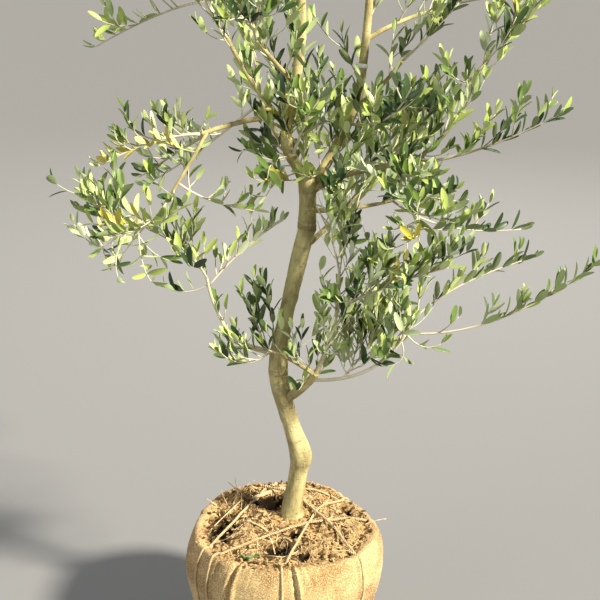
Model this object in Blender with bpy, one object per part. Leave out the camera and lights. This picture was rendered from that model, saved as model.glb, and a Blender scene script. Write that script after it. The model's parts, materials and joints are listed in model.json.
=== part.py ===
"""A young olive tree on its root ball, which is wrapped in burlap and tied with jute string.

Metres, +Z up. The origin is the centre of the ball's flat underside, which stands on the ground.
+X is to the right of the tree's front and +Y towards its back. The trunk has a flat cut at the
level of the top soil. Boughs are bowed, tapering limbs. Each mass of foliage is one body: a stem
that goes on from a bough, side shoots that branch off it by a seeded rule, and paired leaves.
"""

import math
import random
from collections import namedtuple

import bmesh
import bpy
from mathutils import Quaternion, Vector
from mathutils.bvhtree import BVHTree
from mathutils.geometry import intersect_point_line
from mathutils.kdtree import KDTree

UP = Vector((0, 0, 1))
GAP = 0.0003
NEARLY_UPRIGHT = 0.1
SHARP_ANGLE = math.radians(50)
RAY_HEIGHT = 1.0
RAY_NUDGE = 0.000001

# Each finish: its colour and its roughness.
FINISHES = {
    "bark": ((0.46, 0.37, 0.24), 0.85),
    "olive_leaf": ((0.13, 0.19, 0.06), 0.45),
    "burlap": ((0.52, 0.35, 0.16), 0.95),
    "soil": ((0.17, 0.10, 0.05), 0.98),
    "jute": ((0.50, 0.38, 0.21), 0.90),
}

# The root ball: the wrap's outline from its flat foot up, as (height, radius), and how far its
# belly is off to the left.
WRAP_PROFILE = (
    (0.0, 0.116),
    (0.02, 0.130),
    (0.10, 0.159),
    (0.165, 0.174),
    (0.215, 0.183),
    (0.250, 0.1815),
    (0.273, 0.176),
)
BALL_BELLY = 0.006
BALL_SEGMENTS = 28
WRAP_THICKNESS = 0.003
LIP_CREST = (0.1695, 0.2865)
LIP_EDGE = (0.156, 0.2845)
LOBES = ((2, 0.022, 0.6), (3, 0.014, 2.1), (5, 0.008, 1.0))
LIP_WAVES = ((2, 0.005, 2.4), (5, 0.003, 0.5))
LIP_WAVES_FROM = 0.20

# The top soil: a low mound with clods and hollows, and a flat seat under the trunk.
TRUNK_FOOT = Vector((0.012, 0.022, 0.300))
SEAT_RADIUS = 0.034
SOIL_EDGE_RADIUS = 0.152
SOIL_EDGE_HEIGHT = 0.2835
SOIL_RINGS = 6
CLODS = 26
CLOD_SHARES = (0.1, 0.9)
CLOD_HEIGHTS = (0.003, 0.010)
CLOD_WIDTHS = (0.012, 0.024)
CLOD_FADE = 0.7
MOUND_CURVE = 1.5
HOLLOWS = ((-0.041, 0.075), (0.108, 0.080), (-0.011, -0.088))
HOLLOW_DEPTH = 0.013
HOLLOW_WIDTH = 0.022
BACK_LUMP = (-0.070, 0.110, 0.022, 0.024)

# Jute strings: each runs up the ball, over the soil past the trunk, and down again.
STRING_RADIUS = 0.0022
STRING_SIDES = 4
STRING_STEP = 0.0025
STRING_HEART = (0.100, 0.180)
STRING_RISES = (math.radians(-74), math.radians(66))
STRING_SIDE_STEPS = 160
STRING_INSIDE_LIP = 0.161
STRING_GIVE = 0.0004
STRING_CLEARANCE = 0.0011
STRING_ROUTES = {
    "front_string": (-90, (0.060, 0.040), 42),
    "left_string": (-141, (0.041, -0.020), 8),
    "back_string": (-152, (-0.060, 0.085), 97),
    "right_string": (118, (0.030, 0.070), -38),
}

# The trunk and its two leaders: how far right, back and up each station lies, and its radius.
TRUNK_STATIONS = (
    (0.012, 0.022, 0.300, 0.0235),
    (0.013, 0.021, 0.325, 0.0200),
    (0.024, 0.014, 0.400, 0.0175),
    (0.028, 0.008, 0.440, 0.0208),
    (0.012, 0.003, 0.500, 0.0164),
    (-0.010, 0.000, 0.585, 0.0174),
    (-0.013, 0.000, 0.640, 0.0178),
    (0.000, 0.000, 0.720, 0.0134),
    (0.018, 0.000, 0.803, 0.0148),
    (0.035, 0.000, 0.875, 0.0156),
    (0.039, 0.000, 0.895, 0.0168),
    (0.041, 0.000, 0.940, 0.0152),
    (0.040, 0.000, 0.980, 0.0165),
    (0.040, 0.000, 0.990, 0.0130),
)
LEFT_LEADER_STATIONS = (
    (0.038, 0.000, 0.960, 0.0098),
    (0.027, 0.000, 0.995, 0.0104),
    (0.005, -0.012, 1.040, 0.0100),
    (0.010, -0.020, 1.095, 0.0098),
    (0.022, -0.020, 1.165, 0.0092),
    (0.029, -0.020, 1.270, 0.0086),
    (0.022, -0.012, 1.400, 0.0066),
    (0.030, 0.000, 1.530, 0.0044),
    (0.020, 0.008, 1.620, 0.0030),
)
RIGHT_LEADER_STATIONS = (
    (0.044, 0.000, 0.955, 0.0085),
    (0.062, 0.010, 0.986, 0.0092),
    (0.092, 0.040, 1.032, 0.0086),
    (0.126, 0.058, 1.100, 0.0082),
    (0.135, 0.064, 1.150, 0.0078),
    (0.146, 0.072, 1.270, 0.0068),
    (0.150, 0.078, 1.380, 0.0050),
    (0.142, 0.088, 1.500, 0.0030),
)
STATION_STEPS = 2
THICKEST_LIMB = 0.025
TRUNK_SIDES = 12
LEADER_SIDES = 8
BOUGH_SIDES = 6
BOUGH_STEPS = 4
CUTTER_SLACK = 1.15

# A bough leaves its parent at a share of the parent's length. Reach is from its root to its tip
# (right, back, up), and bow is how far its middle stands off the straight line between them.
Bough = namedtuple("Bough", "name parent share reach bow root_radius tip_radius")
BOUGH_ROWS = (
    ("low_right_bough", "trunk", 0.375, (0.060, -0.055, 0.078), (0.004, 0, -0.004), 0.0088, 0.0070),
    ("crossing_bough", "low_right_bough", 0.93, (-0.08, -0.022, 0.056), (0, -0.012, 0.01), 0.0046, 0.003),
    ("right_inner_bough", "low_right_bough", 0.96, (0.04, -0.018, 0.165), (0.01, 0, 0.004), 0.0045, 0.003),
    ("bare_bough", "low_right_bough", 0.78, (0.163, -0.078, 0.122), (0.018, -0.010, -0.021), 0.0034, 0.0025),
    ("low_left_bough", "trunk", 0.510, (-0.088, -0.022, 0.038), (-0.004, 0, -0.003), 0.0064, 0.0046),
    ("low_left_rise", "low_left_bough", 0.95, (-0.042, -0.018, 0.124), (-0.008, 0, 0.004), 0.0034, 0.0024),
    ("mid_right_bough", "trunk", 0.945, (0.206, -0.060, 0.075), (-0.026, 0.008, 0.008), 0.0062, 0.0042),
    ("mid_right_lower", "trunk", 0.905, (0.154, 0.060, 0.002), (0, 0.004, -0.006), 0.0050, 0.0030),
    ("far_right_rise", "mid_right_bough", 0.84, (0.104, -0.020, 0.158), (0.018, 0, -0.010), 0.0038, 0.0024),
    ("back_right_bough", "trunk", 0.800, (0.130, 0.180, 0.085), (0, 0.010, -0.012), 0.0058, 0.0034),
    ("left_bough", "left_leader", 0.215, (-0.150, -0.032, -0.024), (0.004, 0, 0.008), 0.0050, 0.0040),
    ("left_lower_bough", "left_bough", 0.93, (-0.068, -0.052, -0.108), (0.004, 0, 0.004), 0.0034, 0.0024),
    ("upper_left_bough", "left_leader", 0.185, (-0.098, -0.052, 0.158), (-0.006, 0, -0.004), 0.0054, 0.0032),
    ("back_bough", "left_leader", 0.130, (-0.060, 0.210, 0.120), (-0.012, 0.010, -0.016), 0.0054, 0.0032),
    ("front_bough", "left_leader", 0.300, (-0.060, -0.170, 0.095), (0.010, 0, -0.014), 0.0048, 0.0030),
    ("pale_bough", "right_leader", 0.300, (0.076, -0.060, 0.090), (0, 0.002, -0.008), 0.0046, 0.0032),
    ("upper_right_bough", "right_leader", 0.500, (0.132, 0.040, 0.050), (-0.008, 0, 0.003), 0.0044, 0.0030),
    ("drooping_bough", "left_leader", 0.560, (-0.155, 0.004, -0.040), (0.004, 0, 0.022), 0.0044, 0.0028),
)
BOUGHS = [Bough(*row) for row in BOUGH_ROWS]

# A mass of foliage: its stem leaves a bough's tip (share 1) or its side, and shoot is the length
# of its longest side shoots.
Mass = namedtuple("Mass", "name parent share reach bow shoot")
MASS_ROWS = (
    ("crossing_foliage", "crossing_bough", 1, (-0.090, -0.012, 0.000), (0.004, 0, -0.020), 0.08),
    ("low_left_foliage", "low_left_rise", 1, (-0.095, -0.022, 0.095), (0.012, 0, 0.006), 0.06),
    ("low_left_side_foliage", "low_left_rise", 0.88, (0.126, 0.035, 0.108), (-0.006, 0, 0.004), 0.05),
    ("left_lower_foliage", "left_lower_bough", 1, (-0.125, -0.020, 0.012), (0.012, 0, -0.044), 0.16),
    ("left_inner_foliage", "left_lower_bough", 0.72, (0.125, 0.035, -0.058), (-0.010, 0, -0.006), 0.05),
    ("left_upper_foliage", "left_bough", 1, (-0.160, -0.050, -0.040), (0.006, 0, 0.014), 0.07),
    ("left_rising_foliage", "left_bough", 0.86, (-0.125, 0.030, -0.085), (-0.010, 0.004, -0.006), 0.09),
    ("right_inner_foliage", "right_inner_bough", 1, (-0.040, 0.020, 0.150), (0.014, 0, -0.008), 0.12),
    ("right_middle_foliage", "right_inner_bough", 0.80, (0.180, -0.100, 0.11), (0.008, -0.006, 0.012), 0.13),
    ("long_low_foliage", "bare_bough", 1, (0.330, -0.035, 0.158), (0, 0, -0.042), 0.06),
    ("right_low_foliage", "bare_bough", 0.86, (0.243, 0.090, 0.132), (-0.040, 0, 0.010), 0.08),
    ("low_right_foliage", "bare_bough", 0.30, (0.080, 0.070, 0.085), (0, 0.012, -0.010), 0.11),
    ("right_mid_foliage", "mid_right_lower", 1, (0.240, 0.020, -0.060), (-0.016, 0, -0.022), 0.10),
    ("right_droop_foliage", "mid_right_bough", 0.76, (0.030, -0.080, -0.130), (0.014, 0, 0.016), 0.11),
    ("right_rising_foliage", "mid_right_bough", 0.62, (0.095, 0.050, 0.130), (0.010, 0, -0.008), 0.12),
    ("far_right_foliage", "mid_right_bough", 1, (0.205, -0.060, 0.095), (-0.004, 0, -0.012), 0.13),
    ("far_top_foliage", "far_right_rise", 1, (0.095, -0.020, 0.110), (-0.010, 0, -0.010), 0.11),
    ("back_right_foliage", "back_right_bough", 1, (0.120, 0.150, 0.040), (-0.010, 0, 0.014), 0.14),
    ("back_foliage", "back_bough", 1, (-0.040, 0.180, 0.050), (0, -0.010, 0.014), 0.14),
    ("back_left_foliage", "back_bough", 0.60, (-0.235, 0.110, -0.185), (-0.020, 0.010, -0.024), 0.08),
    ("centre_foliage", "left_leader", 0.10, (0.030, -0.150, 0.110), (0.006, 0, 0.016), 0.13),
    ("front_foliage", "front_bough", 1, (-0.030, -0.170, 0.050), (0.006, 0, 0.014), 0.12),
    ("front_right_foliage", "right_leader", 0.245, (0.080, -0.320, 0.120), (0.014, 0, -0.020), 0.12),
    ("pale_foliage", "pale_bough", 1, (0.085, -0.045, 0.100), (-0.006, 0, -0.010), 0.12),
    ("upper_right_foliage", "upper_right_bough", 1, (0.175, 0.020, 0.020), (-0.008, 0, 0.006), 0.13),
    ("upper_left_foliage", "upper_left_bough", 1, (-0.060, -0.030, 0.150), (-0.004, 0, -0.012), 0.13),
    ("drooping_foliage", "drooping_bough", 1, (-0.180, -0.030, -0.070), (0.012, 0, 0.014), 0.13),
    ("upper_back_foliage", "left_leader", 0.620, (-0.090, 0.270, 0.120), (0, 0.010, -0.020), 0.13),
    ("upper_front_foliage", "left_leader", 0.680, (0.050, -0.280, 0.130), (0, -0.010, -0.020), 0.13),
    ("crown_left_foliage", "left_leader", 0.800, (-0.210, -0.040, 0.150), (0, 0, -0.020), 0.13),
    ("crown_right_foliage", "right_leader", 0.780, (0.220, 0.060, 0.140), (0, 0, -0.020), 0.13),
    ("left_top_foliage", "left_leader", 1, (0.010, 0, 0.205), (-0.010, 0.004, 0), 0.14),
    ("right_top_foliage", "right_leader", 1, (0.020, 0.020, 0.215), (0.010, 0, 0), 0.14),
)
MASSES = [Mass(*row) for row in MASS_ROWS]

# How a mass grows.
STEM_STEPS = 5
STEM_FINE_STEPS = 1200
STEM_ROOT_PART = 4
STEM_TO_BOUGH = 0.8
SHOOT_STEPS = 2
TWIG_SIDES = 3
STEM_RADIUS_LIMITS = (0.0018, 0.0030)
STEM_TIP_RADIUS = 0.0011
SHOOT_ROOT_RADIUS = 0.0014
SHOOT_TIP_RADIUS = 0.0009
SHOOTS_AT_LEAST = 3
SHOOT_SPACING = 0.055
SHOOTS_FROM = 0.10
SHOOTS_TO = 0.72
SHOOT_ANGLE = math.radians(46)
SHOOT_SHRINK = 0.55
SHOOT_LIFT = 0.40
SHOOT_BOW = 0.06
SHOOT_PLACE_SPREAD = (0.3, 0.7)
SHOOT_TURN_SPREAD = 0.4
SHOOT_LEAN_SPREAD = (0.8, 1.2)
SHOOT_LENGTH_SPREAD = (0.75, 1.10)
GOLDEN_ANGLE = math.radians(137.5)
PAIR_SPACING = 0.0445
STEM_PAIRS_FROM = 0.34
SHOOT_PAIRS_FROM = 0.17
LAST_PAIR_AT = 0.97
LEAF_LENGTH = 0.069
LEAF_LENGTH_SPREAD = (0.88, 1.08)
TIP_LEAF_SIZE = 0.86
LEAF_WIDTH = 0.27
LEAF_THICKNESS = 0.022
LEAF_ANGLE = math.radians(44)
LEAF_LIFT = 0.30
LEAF_LEAN_SPREAD = (0.75, 1.25)
LEAF_TURN_SPREAD = 0.3
LEAF_ROLL = 0.7
LEAF_WIDEST_AT = 0.48
LEAF_RIB_AT = 0.22
LEAF_CLEARANCE = 0.0012
SPACE_SAMPLES = 4
SPACE_SLACK = 0.025

BARK, LEAF = 0, 1


def material(name, colour, roughness):
    """A plain finish with a colour and a roughness."""
    made = bpy.data.materials.new(name)
    made.use_nodes = True
    shader = made.node_tree.nodes["Principled BSDF"]
    shader.inputs["Base Color"].default_value = (*colour, 1)
    shader.inputs["Roughness"].default_value = roughness
    shader.inputs["Metallic"].default_value = 0
    return made


def steps(count):
    """Shares from 0 to 1 in count equal steps."""
    return [i / count for i in range(count + 1)]


def blend(low, high, share):
    return low + (high - low) * share


def smooth_station(before, start, end, after, share):
    """A point on the smooth curve through four stations, between the middle two."""
    return 0.5 * (
        2 * start
        + (end - before) * share
        + (2 * before - 5 * start + 4 * end - after) * share**2
        + (3 * start - before - 3 * end + after) * share**3
    )


def station_path(stations, per_station):
    """Points and radii along a smooth curve through the stations."""
    rows = [Vector(row) for row in stations]
    rows = [2 * rows[0] - rows[1], *rows, 2 * rows[-1] - rows[-2]]
    smooth = [rows[1]]
    for i in range(1, len(rows) - 2):
        for share in steps(per_station)[1:]:
            smooth.append(smooth_station(*rows[i - 1 : i + 3], share))
    return [row.to_3d() for row in smooth], [row.w for row in smooth]


def bowed_path(root, reach, bow, count):
    """Points from root to root + reach along a curve whose middle stands off by bow."""
    return [root + reach * share + bow * (4 * share * (1 - share)) for share in steps(count)]


def point_along(points, share):
    """The point at a share of a path's length, and the path's direction there."""
    lengths = [(b - a).length for a, b in zip(points, points[1:])]
    left = share * sum(lengths)
    for a, b, length in zip(points, points[1:], lengths):
        if left <= length:
            break
        left -= length
    else:
        left = length
    return a.lerp(b, left / length), (b - a).normalized()


def directions(points):
    """The path's direction at each of its points."""
    ends = zip([points[0], *points[:-1]], [*points[1:], points[-1]])
    return [(after - before).normalized() for before, after in ends]


def square_to(direction, rough=UP):
    """A unit vector square to the direction, as near as can be to the rough one."""
    across = rough - direction * rough.dot(direction)
    if across.length < NEARLY_UPRIGHT:
        across = Vector((1, 0, 0)) - direction * direction.x
    return across.normalized()


def ring_of(point, direction, across, radius, sides):
    """The corners of a ring square to the direction, the first of them lying across."""
    other = direction.cross(across)
    turns = [math.tau * k / sides for k in range(sides)]
    return [point + radius * (math.cos(turn) * across + math.sin(turn) * other) for turn in turns]


def tube(points, radii, sides, foot=None):
    """Vertices and faces of a closed tube with flat ends, the first square to foot if it is given."""
    vertices = []
    along = directions(points)
    along[0] = foot or along[0]
    across = square_to(along[0])
    for point, direction, radius in zip(points, along, radii):
        across = (across - direction * across.dot(direction)).normalized()
        vertices += ring_of(point, direction, across, radius, sides)
    faces = [tuple(range(sides))[::-1]]
    for ring in range(len(points) - 1):
        for k in range(sides):
            low, next_low = ring * sides + k, ring * sides + (k + 1) % sides
            faces.append((low, next_low, next_low + sides, low + sides))
    last = (len(points) - 1) * sides
    faces.append(tuple(range(last, last + sides)))
    return vertices, faces


def leaf(base, direction, upward, length):
    """Vertices and faces of one narrow leaf, with a keel below and a raised midrib."""
    across = direction.cross(upward).normalized()
    half_width = length * LEAF_WIDTH / 2
    rib = upward * (length * LEAF_THICKNESS)
    widest = base + direction * (length * LEAF_WIDEST_AT)
    crest = base + direction * (length * LEAF_RIB_AT)
    vertices = [
        base,
        base + direction * length,
        widest - across * half_width + rib,
        widest + across * half_width + rib,
        crest + rib,
    ]
    return vertices, [(0, 4, 2), (0, 3, 4), (2, 4, 1), (4, 3, 1), (0, 2, 1), (0, 1, 3)]


def new_object(name, vertices, faces, finishes, finish=0):
    """A mesh object in the scene, all its faces in one of its finishes."""
    mesh = bpy.data.meshes.new(name)
    mesh.from_pydata(vertices, [], faces)
    for entry in finishes:
        mesh.materials.append(entry)
    for polygon in mesh.polygons:
        polygon.material_index = finish
    mesh.update()
    made = bpy.data.objects.new(name, mesh)
    bpy.context.scene.collection.objects.link(made)
    return made


def surface_of(thing):
    """A search tree of an object's surface, for rays and distances."""
    shape = bmesh.new()
    shape.from_mesh(thing.data)
    tree = BVHTree.FromBMesh(shape)
    shape.free()
    return tree


def apply_modifiers(thing):
    """Swaps the object's mesh for the one its modifiers give."""
    evaluated = thing.evaluated_get(bpy.context.evaluated_depsgraph_get())
    mesh = bpy.data.meshes.new_from_object(evaluated)
    thing.modifiers.clear()
    thing.data = mesh


def remove(things):
    for thing in list(things):
        bpy.data.objects.remove(thing)


def soften(thing):
    """Shades a round piece smooth, but for its sharp edges."""
    thing.data.shade_smooth()
    thing.data.set_sharp_from_angle(angle=SHARP_ANGLE)


# The root ball


def waves(turn, rows):
    return sum(height * math.cos(count * turn + phase) for count, height, phase in rows)


def ball_point(turn, radius, height):
    """A point of the ball, which is a little out of round and has an uneven lip."""
    share = max(0.0, (height - LIP_WAVES_FROM) / (LIP_EDGE[1] - LIP_WAVES_FROM))
    radius *= 1 + waves(turn, LOBES)
    lift = waves(turn, LIP_WAVES) * share
    aside = BALL_BELLY * math.sin(math.pi * height / LIP_EDGE[1])
    return Vector((radius * math.cos(turn) - aside, radius * math.sin(turn), height + lift))


def ball_turns():
    return [math.tau * k / BALL_SEGMENTS for k in range(BALL_SEGMENTS)]


def ringed(rings):
    """Vertices and faces of a closed body from rings of ball_turns points, first and last capped."""
    vertices = [point for ring in rings for point in ring]
    faces = [tuple(range(BALL_SEGMENTS))[::-1]]
    for row in range(len(rings) - 1):
        for k in range(BALL_SEGMENTS):
            low = row * BALL_SEGMENTS + k
            next_low = row * BALL_SEGMENTS + (k + 1) % BALL_SEGMENTS
            faces.append((low, next_low, next_low + BALL_SEGMENTS, low + BALL_SEGMENTS))
    last = (len(rings) - 1) * BALL_SEGMENTS
    faces.append(tuple(range(last, last + BALL_SEGMENTS)))
    return vertices, faces


def ball_ring(radius, height):
    return [ball_point(turn, radius, height) for turn in ball_turns()]


def make_burlap_wrap(finish):
    """The burlap: a cup with a flat underside whose lip is folded in over the soil."""
    outside = [(radius, height) for height, radius in WRAP_PROFILE]
    lip = [LIP_CREST, LIP_EDGE, (LIP_EDGE[0] + GAP, LIP_EDGE[1] - WRAP_THICKNESS)]
    under_crest = (LIP_CREST[0] - WRAP_THICKNESS / 2, LIP_CREST[1] - WRAP_THICKNESS)
    inside = [
        (radius - WRAP_THICKNESS, max(height, WRAP_THICKNESS))
        for height, radius in reversed(WRAP_PROFILE)
    ]
    rings = [ball_ring(*row) for row in [*outside, *lip, under_crest, *inside]]
    wrap = new_object("burlap_wrap", *ringed(rings), [finish])
    soften(wrap)
    return wrap


def clod_rows():
    """Where the clods of the top soil lie, how high they stand and how wide they are."""
    draw = random.Random("clods")
    rows = []
    for _ in range(CLODS):
        turn = draw.uniform(0, math.tau)
        out = SOIL_EDGE_RADIUS * math.sqrt(draw.uniform(*CLOD_SHARES))
        height = draw.uniform(*CLOD_HEIGHTS)
        width = draw.uniform(*CLOD_WIDTHS)
        rows.append((out * math.cos(turn), out * math.sin(turn), height, width))
    return rows


def soil_height(x, y, share, rows):
    """The soil's height at a place, where share runs from 0 at the seat to 1 at the edge."""
    mound = blend(TRUNK_FOOT.z - GAP, SOIL_EDGE_HEIGHT, share**MOUND_CURVE)
    lumps = sum(
        height * math.exp(-((x - at_x) ** 2 + (y - at_y) ** 2) / width**2)
        for at_x, at_y, height, width in rows
    )
    return mound + lumps * math.sin(math.pi * min(share, 1)) ** CLOD_FADE


def make_soil(finish):
    """The soil and roots inside the wrap, to 0.5 mm from it, with its loose top."""
    rows = [*clod_rows(), BACK_LUMP, *((x, y, -HOLLOW_DEPTH, HOLLOW_WIDTH) for x, y in HOLLOWS)]
    side = WRAP_THICKNESS + 2 * GAP
    rings = []
    for height, radius in WRAP_PROFILE:
        rings.append(ball_ring(radius - side, max(height, side)))
    rings.append(ball_ring(LIP_EDGE[0] + 2 * GAP, LIP_EDGE[1] - side - GAP))
    for share in reversed(steps(SOIL_RINGS)):
        ring = []
        for turn in ball_turns():
            edge = ball_point(turn, SOIL_EDGE_RADIUS, SOIL_EDGE_HEIGHT)
            seat = TRUNK_FOOT + SEAT_RADIUS * Vector((math.cos(turn), math.sin(turn), 0))
            point = seat.lerp(edge, share)
            point.z = soil_height(point.x, point.y, share, rows) + waves(turn, LIP_WAVES) * share
            ring.append(point)
        rings.append(ring)
    return new_object("soil", *ringed(rings), [finish])


def height_over(x, y, sideways, surfaces):
    """The height of a string that lies over the surfaces at a place."""
    tops = []
    for shift in (-STRING_RADIUS, -STRING_RADIUS / 2, 0, STRING_RADIUS / 2, STRING_RADIUS):
        start = Vector((x, y, RAY_HEIGHT)) + sideways * shift
        for surface in surfaces:
            hit = surface.ray_cast(start, -UP)[0]
            if hit:
                tops.append(hit.z)
    return max(tops) + STRING_RADIUS + STRING_CLEARANCE


def string_side(turn, surfaces):
    """Points up the ball's side at a turn, from near its foot to its lip, lying on the wrap."""
    outward = Vector((math.cos(turn), math.sin(turn), 0))
    heart = ball_point(turn, *STRING_HEART)
    points = []
    for share in steps(STRING_SIDE_STEPS):
        rise = blend(*STRING_RISES, share)
        aim = outward * math.cos(rise) + UP * math.sin(rise)
        hits = [tree.ray_cast(heart + aim, -aim) for tree in surfaces]
        place, normal = min((hit for hit in hits if hit[0]), key=lambda hit: hit[3])[:2]
        points.append(place + normal * (STRING_RADIUS + STRING_CLEARANCE))
    return taut(
        points,
        lambda point: point.z - point.to_2d().length,
        lambda point: point.z + point.to_2d().length,
    )


def taut(points, run, rise):
    """The points that a taut string touches as it goes over the others, from run to run."""
    kept = []
    for point in points:
        while len(kept) > 1:
            share = (run(kept[-1]) - run(kept[-2])) / (run(point) - run(kept[-2]))
            if rise(kept[-1]) > blend(rise(kept[-2]), rise(point), share):
                break
            kept.pop()
        kept.append(point)
    return kept


def thinned(points):
    """The path with every point left out that lies within the give of the line past it."""
    kept, start = [points[0]], 0
    for end in range(2, len(points)):
        ends = points[start], points[end]
        between = points[start + 1 : end]
        offs = [(point - intersect_point_line(point, *ends)[0]).length for point in between]
        if max(offs) > STRING_GIVE:
            start = end - 1
            kept.append(points[start])
    return [*kept, points[-1]]


def string_top(waypoints, surfaces):
    """A taut line over the soil through waypoints in plan."""
    path = []
    for start, end in zip(waypoints, waypoints[1:]):
        count = max(2, round((end - start).length / STRING_STEP))
        sideways = Vector((start.y - end.y, end.x - start.x, 0)).normalized()
        run = []
        for share in steps(count):
            spot = start.lerp(end, share)
            run.append(Vector((spot.x, spot.y, height_over(spot.x, spot.y, sideways, surfaces))))
        line = taut(run, lambda point: (point.xy - start).length, lambda point: point.z)
        path += line[1:] if path else line
    return path


def make_strings(finish, wrap, soil):
    """The jute strings, each lying over the wrap, the soil and the strings before it."""
    surfaces = [surface_of(wrap), surface_of(soil)]
    for name, (start, by_trunk, end) in STRING_ROUTES.items():
        turns = [math.radians(start), math.radians(end)]
        crests = [ball_point(turn, STRING_INSIDE_LIP, LIP_EDGE[1]) for turn in turns]
        rises = [string_side(turn, surfaces) for turn in turns]
        waypoints = [crests[0].to_2d(), Vector(by_trunk), crests[1].to_2d()]
        points = thinned([*rises[0], *string_top(waypoints, surfaces), *rises[1][::-1]])
        radii = [STRING_RADIUS] * len(points)
        string = new_object(name, *tube(points, radii, STRING_SIDES), [finish])
        soften(string)
        surfaces.append(surface_of(string))


# The trunk, leaders and boughs


class Tree:
    """The limbs made so far, with what later limbs and leaves need to know of them."""

    def __init__(self):
        self.paths = {}
        self.radii = {}
        self.sides = {}
        self.surfaces = {}

    def cutter(self, name):
        """A copy of a limb that is thicker and longer by the gap."""
        points, along = self.paths[name], directions(self.paths[name])
        longer = [points[0] - along[0] * GAP, *points[1:-1], points[-1] + along[-1] * GAP]
        radii = [radius + GAP * CUTTER_SLACK for radius in self.radii[name]]
        made = new_object(name + "_cutter", *tube(longer, radii, self.sides[name]), [])
        made.hide_render = True
        made.display_type = "WIRE"
        return made

    def add_limb(self, name, points, radii, sides, finishes, foot=None):
        """Makes a limb and cuts it clear of the limbs it grows from."""
        limb = new_object(name, *tube(points, radii, sides, foot), finishes, BARK)
        surface = surface_of(limb)
        touched = [other for other, tree in self.surfaces.items() if tree.overlap(surface)]
        cutters = [self.cutter(other) for other in touched]
        for cutter in cutters:
            cut = limb.modifiers.new("clear", "BOOLEAN")
            cut.operation = "DIFFERENCE"
            cut.solver = "EXACT"
            cut.object = cutter
        if cutters:
            apply_modifiers(limb)
            remove(cutters)
        soften(limb)
        self.paths[name] = points
        self.radii[name] = radii
        self.sides[name] = sides
        self.surfaces[name] = surface_of(limb)


def make_limbs(finishes):
    tree = Tree()
    trunk = station_path(TRUNK_STATIONS, STATION_STEPS)
    left = station_path(LEFT_LEADER_STATIONS, STATION_STEPS)
    right = station_path(RIGHT_LEADER_STATIONS, STATION_STEPS)
    tree.add_limb("trunk", *trunk, TRUNK_SIDES, finishes, UP)
    tree.add_limb("left_leader", *left, LEADER_SIDES, finishes)
    tree.add_limb("right_leader", *right, LEADER_SIDES, finishes)
    for row in BOUGHS:
        root, _ = point_along(tree.paths[row.parent], row.share)
        points = bowed_path(root, Vector(row.reach), Vector(row.bow), BOUGH_STEPS)
        radii = [blend(row.root_radius, row.tip_radius, share) for share in steps(BOUGH_STEPS)]
        tree.add_limb(row.name, points, radii, BOUGH_SIDES, finishes)
    return tree


# The masses of foliage


def clear_start(points, radius, surfaces):
    """A stem's path from where its root end is just clear of the limbs, and its direction there."""
    along = directions(points)
    for i in range(len(points) // STEM_ROOT_PART, -1, -1):
        corners = ring_of(points[i], along[i], square_to(along[i]), radius, TWIG_SIDES)
        middles = [(a + b) / 2 for a, b in zip(corners, corners[1:] + corners[:1])]
        tests = [points[i], *corners, *middles]
        if any(too_near(surface, test) for surface in surfaces for test in tests):
            return points[i + 1 :], along[i + 1]
    return points, along[0]


def inside(surface, point):
    """Whether a point lies in a closed surface: a ray from it crosses an odd number of times."""
    crossings = 0
    place = surface.ray_cast(point, UP)[0]
    while place:
        crossings += 1
        place = surface.ray_cast(place + UP * RAY_NUDGE, UP)[0]
    return crossings % 2 == 1


def too_near(surface, point):
    """Whether a point lies in a limb or less than the gap outside it."""
    distance = surface.find_nearest(point, THICKEST_LIMB)[3]
    if distance is None:
        return False
    return distance < GAP or inside(surface, point)


def stem_of(row, tree):
    """A mass's stem from just clear of its bough: points, radii and the direction at its root."""
    parent = tree.paths[row.parent]
    root, _ = point_along(parent, row.share)
    fine = bowed_path(root, Vector(row.reach), Vector(row.bow), STEM_FINE_STEPS)
    bough_radius = blend(tree.radii[row.parent][0], tree.radii[row.parent][-1], row.share)
    low, high = STEM_RADIUS_LIMITS
    root_radius = max(low, min(high, STEM_TO_BOUGH * bough_radius))
    fine, foot = clear_start(fine, root_radius, tree.surfaces.values())
    points = [point_along(fine, share)[0] for share in steps(STEM_STEPS)]
    radii = [blend(root_radius, STEM_TIP_RADIUS, share) for share in steps(STEM_STEPS)]
    return points, radii, foot


def shoots_of(row, stem):
    """The side shoots of a stem as (points, radii), longest low down and curving upwards."""
    draw = random.Random(row.name)
    length = sum((b - a).length for a, b in zip(stem, stem[1:]))
    count = max(SHOOTS_AT_LEAST, round(length * (SHOOTS_TO - SHOOTS_FROM) / SHOOT_SPACING))
    turn = draw.uniform(0, math.tau)
    shoots = []
    for i in range(count):
        share = blend(SHOOTS_FROM, SHOOTS_TO, (i + draw.uniform(*SHOOT_PLACE_SPREAD)) / count)
        root, along = point_along(stem, share)
        turn += GOLDEN_ANGLE + draw.uniform(-SHOOT_TURN_SPREAD, SHOOT_TURN_SPREAD)
        side = Quaternion(along, turn) @ square_to(along)
        side.z = abs(side.z)
        lean = SHOOT_ANGLE * draw.uniform(*SHOOT_LEAN_SPREAD)
        aim = (along * math.cos(lean) + side * math.sin(lean) + UP * SHOOT_LIFT).normalized()
        size = row.shoot * (1 - SHOOT_SHRINK * share) * draw.uniform(*SHOOT_LENGTH_SPREAD)
        reach = aim * size
        bow = (side - UP) * size * SHOOT_BOW
        points = bowed_path(root, reach, bow, SHOOT_STEPS)
        radii = [blend(SHOOT_ROOT_RADIUS, SHOOT_TIP_RADIUS, t) for t in steps(SHOOT_STEPS)]
        shoots.append((points, radii))
    return shoots


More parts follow.
